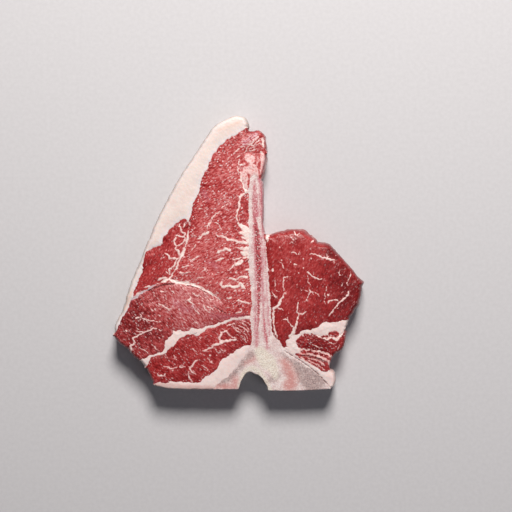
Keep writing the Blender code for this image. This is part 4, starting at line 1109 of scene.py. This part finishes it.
def back_fat():
    """The fat cap: thick back fat, bone white, with a drier, greyer and slightly brown outer skin side; the grey along
    its outer rim is partly painted shade.
    """
    material, tree, shader, place, colour = fat_tissue("back_fat", "#e8d9d5", "#e4d2cd", "#e5dbdf", "#e0c2bf", 0.25, "#cab9ae", "#e0b6a2")
    # Outer skin side: partly drier, browner skin, partly painted shade along the outer rim
    skin = share(tree, math_of(tree, "ADD", attribute(tree, "side"), jitter(tree, place, 3.0, 0.5)), 0.2, 0.9)
    patch = share(tree, add(tree, "TexNoise", {"Vector": place, "Scale": 1000 / 7, "Detail": 5.0}), 0.35, 0.75)
    aged_and_shaded = mixed(tree, patch, linear("#c9bcb4"), linear("#a8958a"))
    colour = mixed(tree, math_of(tree, "MULTIPLY", skin, 0.7), colour, aged_and_shaded)
    tree.links.new(colour, shader.inputs["Base Color"])
    return material


def bone():
    """Fresh beef bone, band-sawn: ivory dense bone with a fine grain, spongy bone with red marrow in its pores,
    long blood streaks down the rib, grey gristle, and the faint parallel scores of the saw."""
    material, tree, shader, place = start_material(
        "sawn_bone", IOR=1.5, Subsurface_Weight=0.08, Subsurface_Radius=(0.0026, 0.0014, 0.0010),
        Subsurface_Scale=1.0)
    fine = jitter(tree, place, 0.9, 3.0, 4.0)
    broad = jitter(tree, place, 5.0, 3.0, 5.0)
    mottled = math_of(tree, "ADD", math_of(tree, "MULTIPLY", fine, 1.4), broad)
    colour = mixed(tree, share(tree, mottled, -1.0, 1.0), linear("#ecdedc"), linear("#d0b2b2"))
    grey = share(tree, math_of(tree, "ADD", attribute(tree, "grey"), mottled), -2.6, 2.4)
    colour = mixed(tree, math_of(tree, "MULTIPLY", grey, 0.85), colour, linear("#ab9290"))
    rows = add(tree, "Mapping", {"Vector": place, "Scale": (1, 7, 1)}, vector_type="TEXTURE")
    streak = share(tree, jitter(tree, rows, 1.3, 2.0, 3.0), -0.3, 0.5)
    pink = share(tree, math_of(tree, "ADD", attribute(tree, "pink"), mottled), -2.0, 1.6)
    pink = math_of(tree, "MULTIPLY", pink, math_of(tree, "ADD", math_of(tree, "MULTIPLY", streak, 0.7), 0.55))
    colour = mixed(tree, pink, colour, linear("#c47480"))
    blood = share(tree, attribute(tree, "pink"), 0.1, 1.3)
    lines = share(tree, jitter(tree, rows, 0.9, 2.0, 2.0), 0.04, 0.3)
    colour = mixed(tree, math_of(tree, "MULTIPLY", math_of(tree, "MULTIPLY", lines, blood), 0.75), colour,
                   linear("#ad4f60"))
    salmon = share(tree, math_of(tree, "ADD", attribute(tree, "salmon"), mottled), -4.0, 3.4)
    colour = mixed(tree, math_of(tree, "MULTIPLY", salmon, 0.72), colour, linear("#c97a74"))
    cream = share(tree, math_of(tree, "ADD", attribute(tree, "cream"), mottled), -1.6, 1.4)
    creamy = mixed(tree, share(tree, fine, -0.4, 0.5), linear("#f0e9dc"), linear("#cbbcb0"))
    colour = mixed(tree, math_of(tree, "MULTIPLY", cream, 0.85), colour, creamy)
    pores = add(tree, "TexVoronoi", {"Vector": place, "Scale": 1000 / 1.3, "Randomness": 0.9}, feature="F1")
    pore = share(tree, pores.outputs["Distance"], 0.68, 0.44)
    marrow = share(tree, math_of(tree, "ADD", attribute(tree, "marrow"), jitter(tree, place, 1.0, 1.6)), -0.7, 0.3)
    drops = math_of(tree, "MULTIPLY", math_of(tree, "MULTIPLY", pore, blood), 0.45)
    colour = mixed(tree, drops, colour, linear("#b04450"))
    heart = share(tree, attribute(tree, "marrow"), -0.1, 1.6)
    spongy = mixed(tree, heart, linear("#ca747c"), linear("#b3303d"))
    holes = math_of(tree, "MULTIPLY", pore, math_of(tree, "ADD", math_of(tree, "MULTIPLY", heart, 0.7), 0.3))
    spongy = mixed(tree, holes, spongy, linear("#860a1b"))
    colour = mixed(tree, math_of(tree, "MULTIPLY", marrow, 0.95), colour, spongy)
    grit = add(tree, "TexVoronoi", {"Vector": place, "Scale": 1000 / 1.1, "Randomness": 1.0}, feature="F1")
    chosen = add(tree, "SeparateColor", {"Color": grit.outputs["Color"]})
    spot = share(tree, grit.outputs["Distance"], 0.5, 0.26)
    often = math_of(tree, "ADD", chosen.outputs["Red"], math_of(tree, "MULTIPLY", grey, 0.3))
    dark = math_of(tree, "MULTIPLY", spot, share(tree, often, 0.6, 0.8))
    dark = math_of(tree, "MULTIPLY", dark, math_of(tree, "ADD", math_of(tree, "MULTIPLY", grey, 0.5), 0.1))
    dark = math_of(tree, "MULTIPLY", dark, math_of(tree, "SUBTRACT", 1.0, marrow))
    colour = mixed(tree, dark, colour, linear("#5f5056"))
    light = math_of(tree, "MULTIPLY", spot, share(tree, chosen.outputs["Red"], 0.4, 0.2))
    light = math_of(tree, "MULTIPLY", light, math_of(tree, "ADD", marrow, 1.0))
    colour = mixed(tree, math_of(tree, "MULTIPLY", light, 0.42), colour, linear("#f2e6e4"))
    # Painted shade: the clefts are darkened as if shadowed
    shaded_cleft = share(tree, attribute(tree, "shaded_cleft"), -0.2, 0.25)
    colour = mixed(tree, math_of(tree, "MULTIPLY", shaded_cleft, 0.7), colour, linear("#6a3a36"))
    tree.links.new(colour, shader.inputs["Base Color"])
    tree.links.new(math_of(tree, "ADD", jitter(tree, place, 3.0, 0.2), 0.5).outputs[0], shader.inputs["Roughness"])
    scores = add(tree, "TexWave", {"Vector": place, "Scale": 1000 / 1.4 / 6.28, "Distortion": 2.5, "Detail": 2.0},
                 bands_direction="Y")
    height = math_of(tree, "ADD", math_of(tree, "MULTIPLY", scores, 0.15), fine)
    height = math_of(tree, "SUBTRACT", height, math_of(tree, "MULTIPLY", math_of(tree, "MULTIPLY", marrow, pore), 2.0))
    bump = add(tree, "Bump", {"Height": height, "Distance": 0.00012, "Strength": 0.7})
    tree.links.new(bump.outputs[0], shader.inputs["Normal"])
    return material


def floor_material():
    """A matt painted board, pale grey, with the faintest grain."""
    material, tree, shader, place = start_material("painted_board", Roughness=0.95, IOR=1.3)
    shade = share(tree, add(tree, "TexNoise", {"Vector": place, "Scale": 1000 / 3, "Detail": 6.0}), 0.2, 0.8)
    colour = mixed(tree, shade, linear("#c9c8cc"), linear("#cfced2"))
    tree.links.new(colour, shader.inputs["Base Color"])
    return material


# ---------------------------------------------------------------- the steak
def make_steak():
    outlines = lay_out_outlines()
    layers = lay_out_layers(outlines)
    rim = Rim(outlines)
    seam = fat_tissue("seam_fat_tissue", "#ebdad7", "#e6cecc", "#ead4d2", "#d9a5a3", 0.35, "#bfa29b", "#c4918c")[0]
    finishes = {"cap_fat": back_fat(), "fat": seam, "bone": bone()}
    slots = {entry["node"]: entry["material_slot"] for entry in frame["record"]["subparts"]}
    for number, node in enumerate(sorted(frame["nodes"])):
        if node in GRAINS:
            direction, _, speck_show = GRAINS[node]
            finish = muscle(node + "_flesh", REDS.get(node) or REDS[slots[node]], CREAMS.get(node, CREAMS["vein"]),
                            direction, speck_show, RAGGED.get(node, 0.3))
        else:
            finish = finishes[slots[node]]
        piece = build_piece(node, outlines, layers, rim, finish, seed=100 + number)
        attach(piece, "root")
        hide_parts(node)


# ---------------------------------------------------------------- floor, light and camera
def plane(name, size, place, turn):
    mesh = bpy.data.meshes.new(name)
    half = size / 2
    corners = np.array([(-half, -half, 0), (half, -half, 0), (half, half, 0), (-half, half, 0)])
    mesh.from_pydata(corners.tolist(), [], [(0, 1, 2, 3)])
    obj = bpy.data.objects.new(name, mesh)
    obj.location, obj.rotation_euler = place, turn
    bpy.context.scene.collection.objects.link(obj)
    return obj


def area_light(name, place, target, size, power, colour):
    data = bpy.data.lights.new(name, "AREA")
    data.shape, data.size, data.energy = "DISK", size, power
    data.color = linear(colour)[:3]
    obj = bpy.data.objects.new(name, data)
    obj.location = place
    obj.rotation_euler = (Vector(target) - Vector(place)).to_track_quat("-Z", "Y").to_euler()
    bpy.context.scene.collection.objects.link(obj)


def make_stage():
    floor = plane("floor", 6.0, (0, 0, 0), (0, 0, 0))
    floor.data.materials.append(floor_material())
    area_light("key", (0.12, 1.05, 1.2), (0, 0, 0), 0.6, 34, "#fffaf4")
    area_light("fill", (0.7, -0.7, 1.5), (0, 0, 0), 0.9, 2.5, "#f4f6ff")
    world = bpy.data.worlds.new("room")
    world.use_nodes = True
    world.node_tree.nodes["Background"].inputs["Color"].default_value = linear("#e8ebf2")
    world.node_tree.nodes["Background"].inputs["Strength"].default_value = 0.06
    bpy.context.scene.world = world
    bpy.context.scene.view_settings.view_transform = "Standard"


def make_camera():
    """The camera looks straight down.  Its frame is 409.6 mm wide where the cut face lies."""
    distance, frame_width = 0.8, 0.4096
    data = bpy.data.cameras.new("camera")
    data.sensor_width = 36.0
    data.lens = data.sensor_width * distance / frame_width
    obj = bpy.data.objects.new("camera", data)
    obj.location = (0.01415, -0.00268, SEAM_LEVEL * METRES + distance)
    bpy.context.scene.collection.objects.link(obj)
    bpy.context.scene.camera = obj


make_steak()
make_stage()
make_camera()
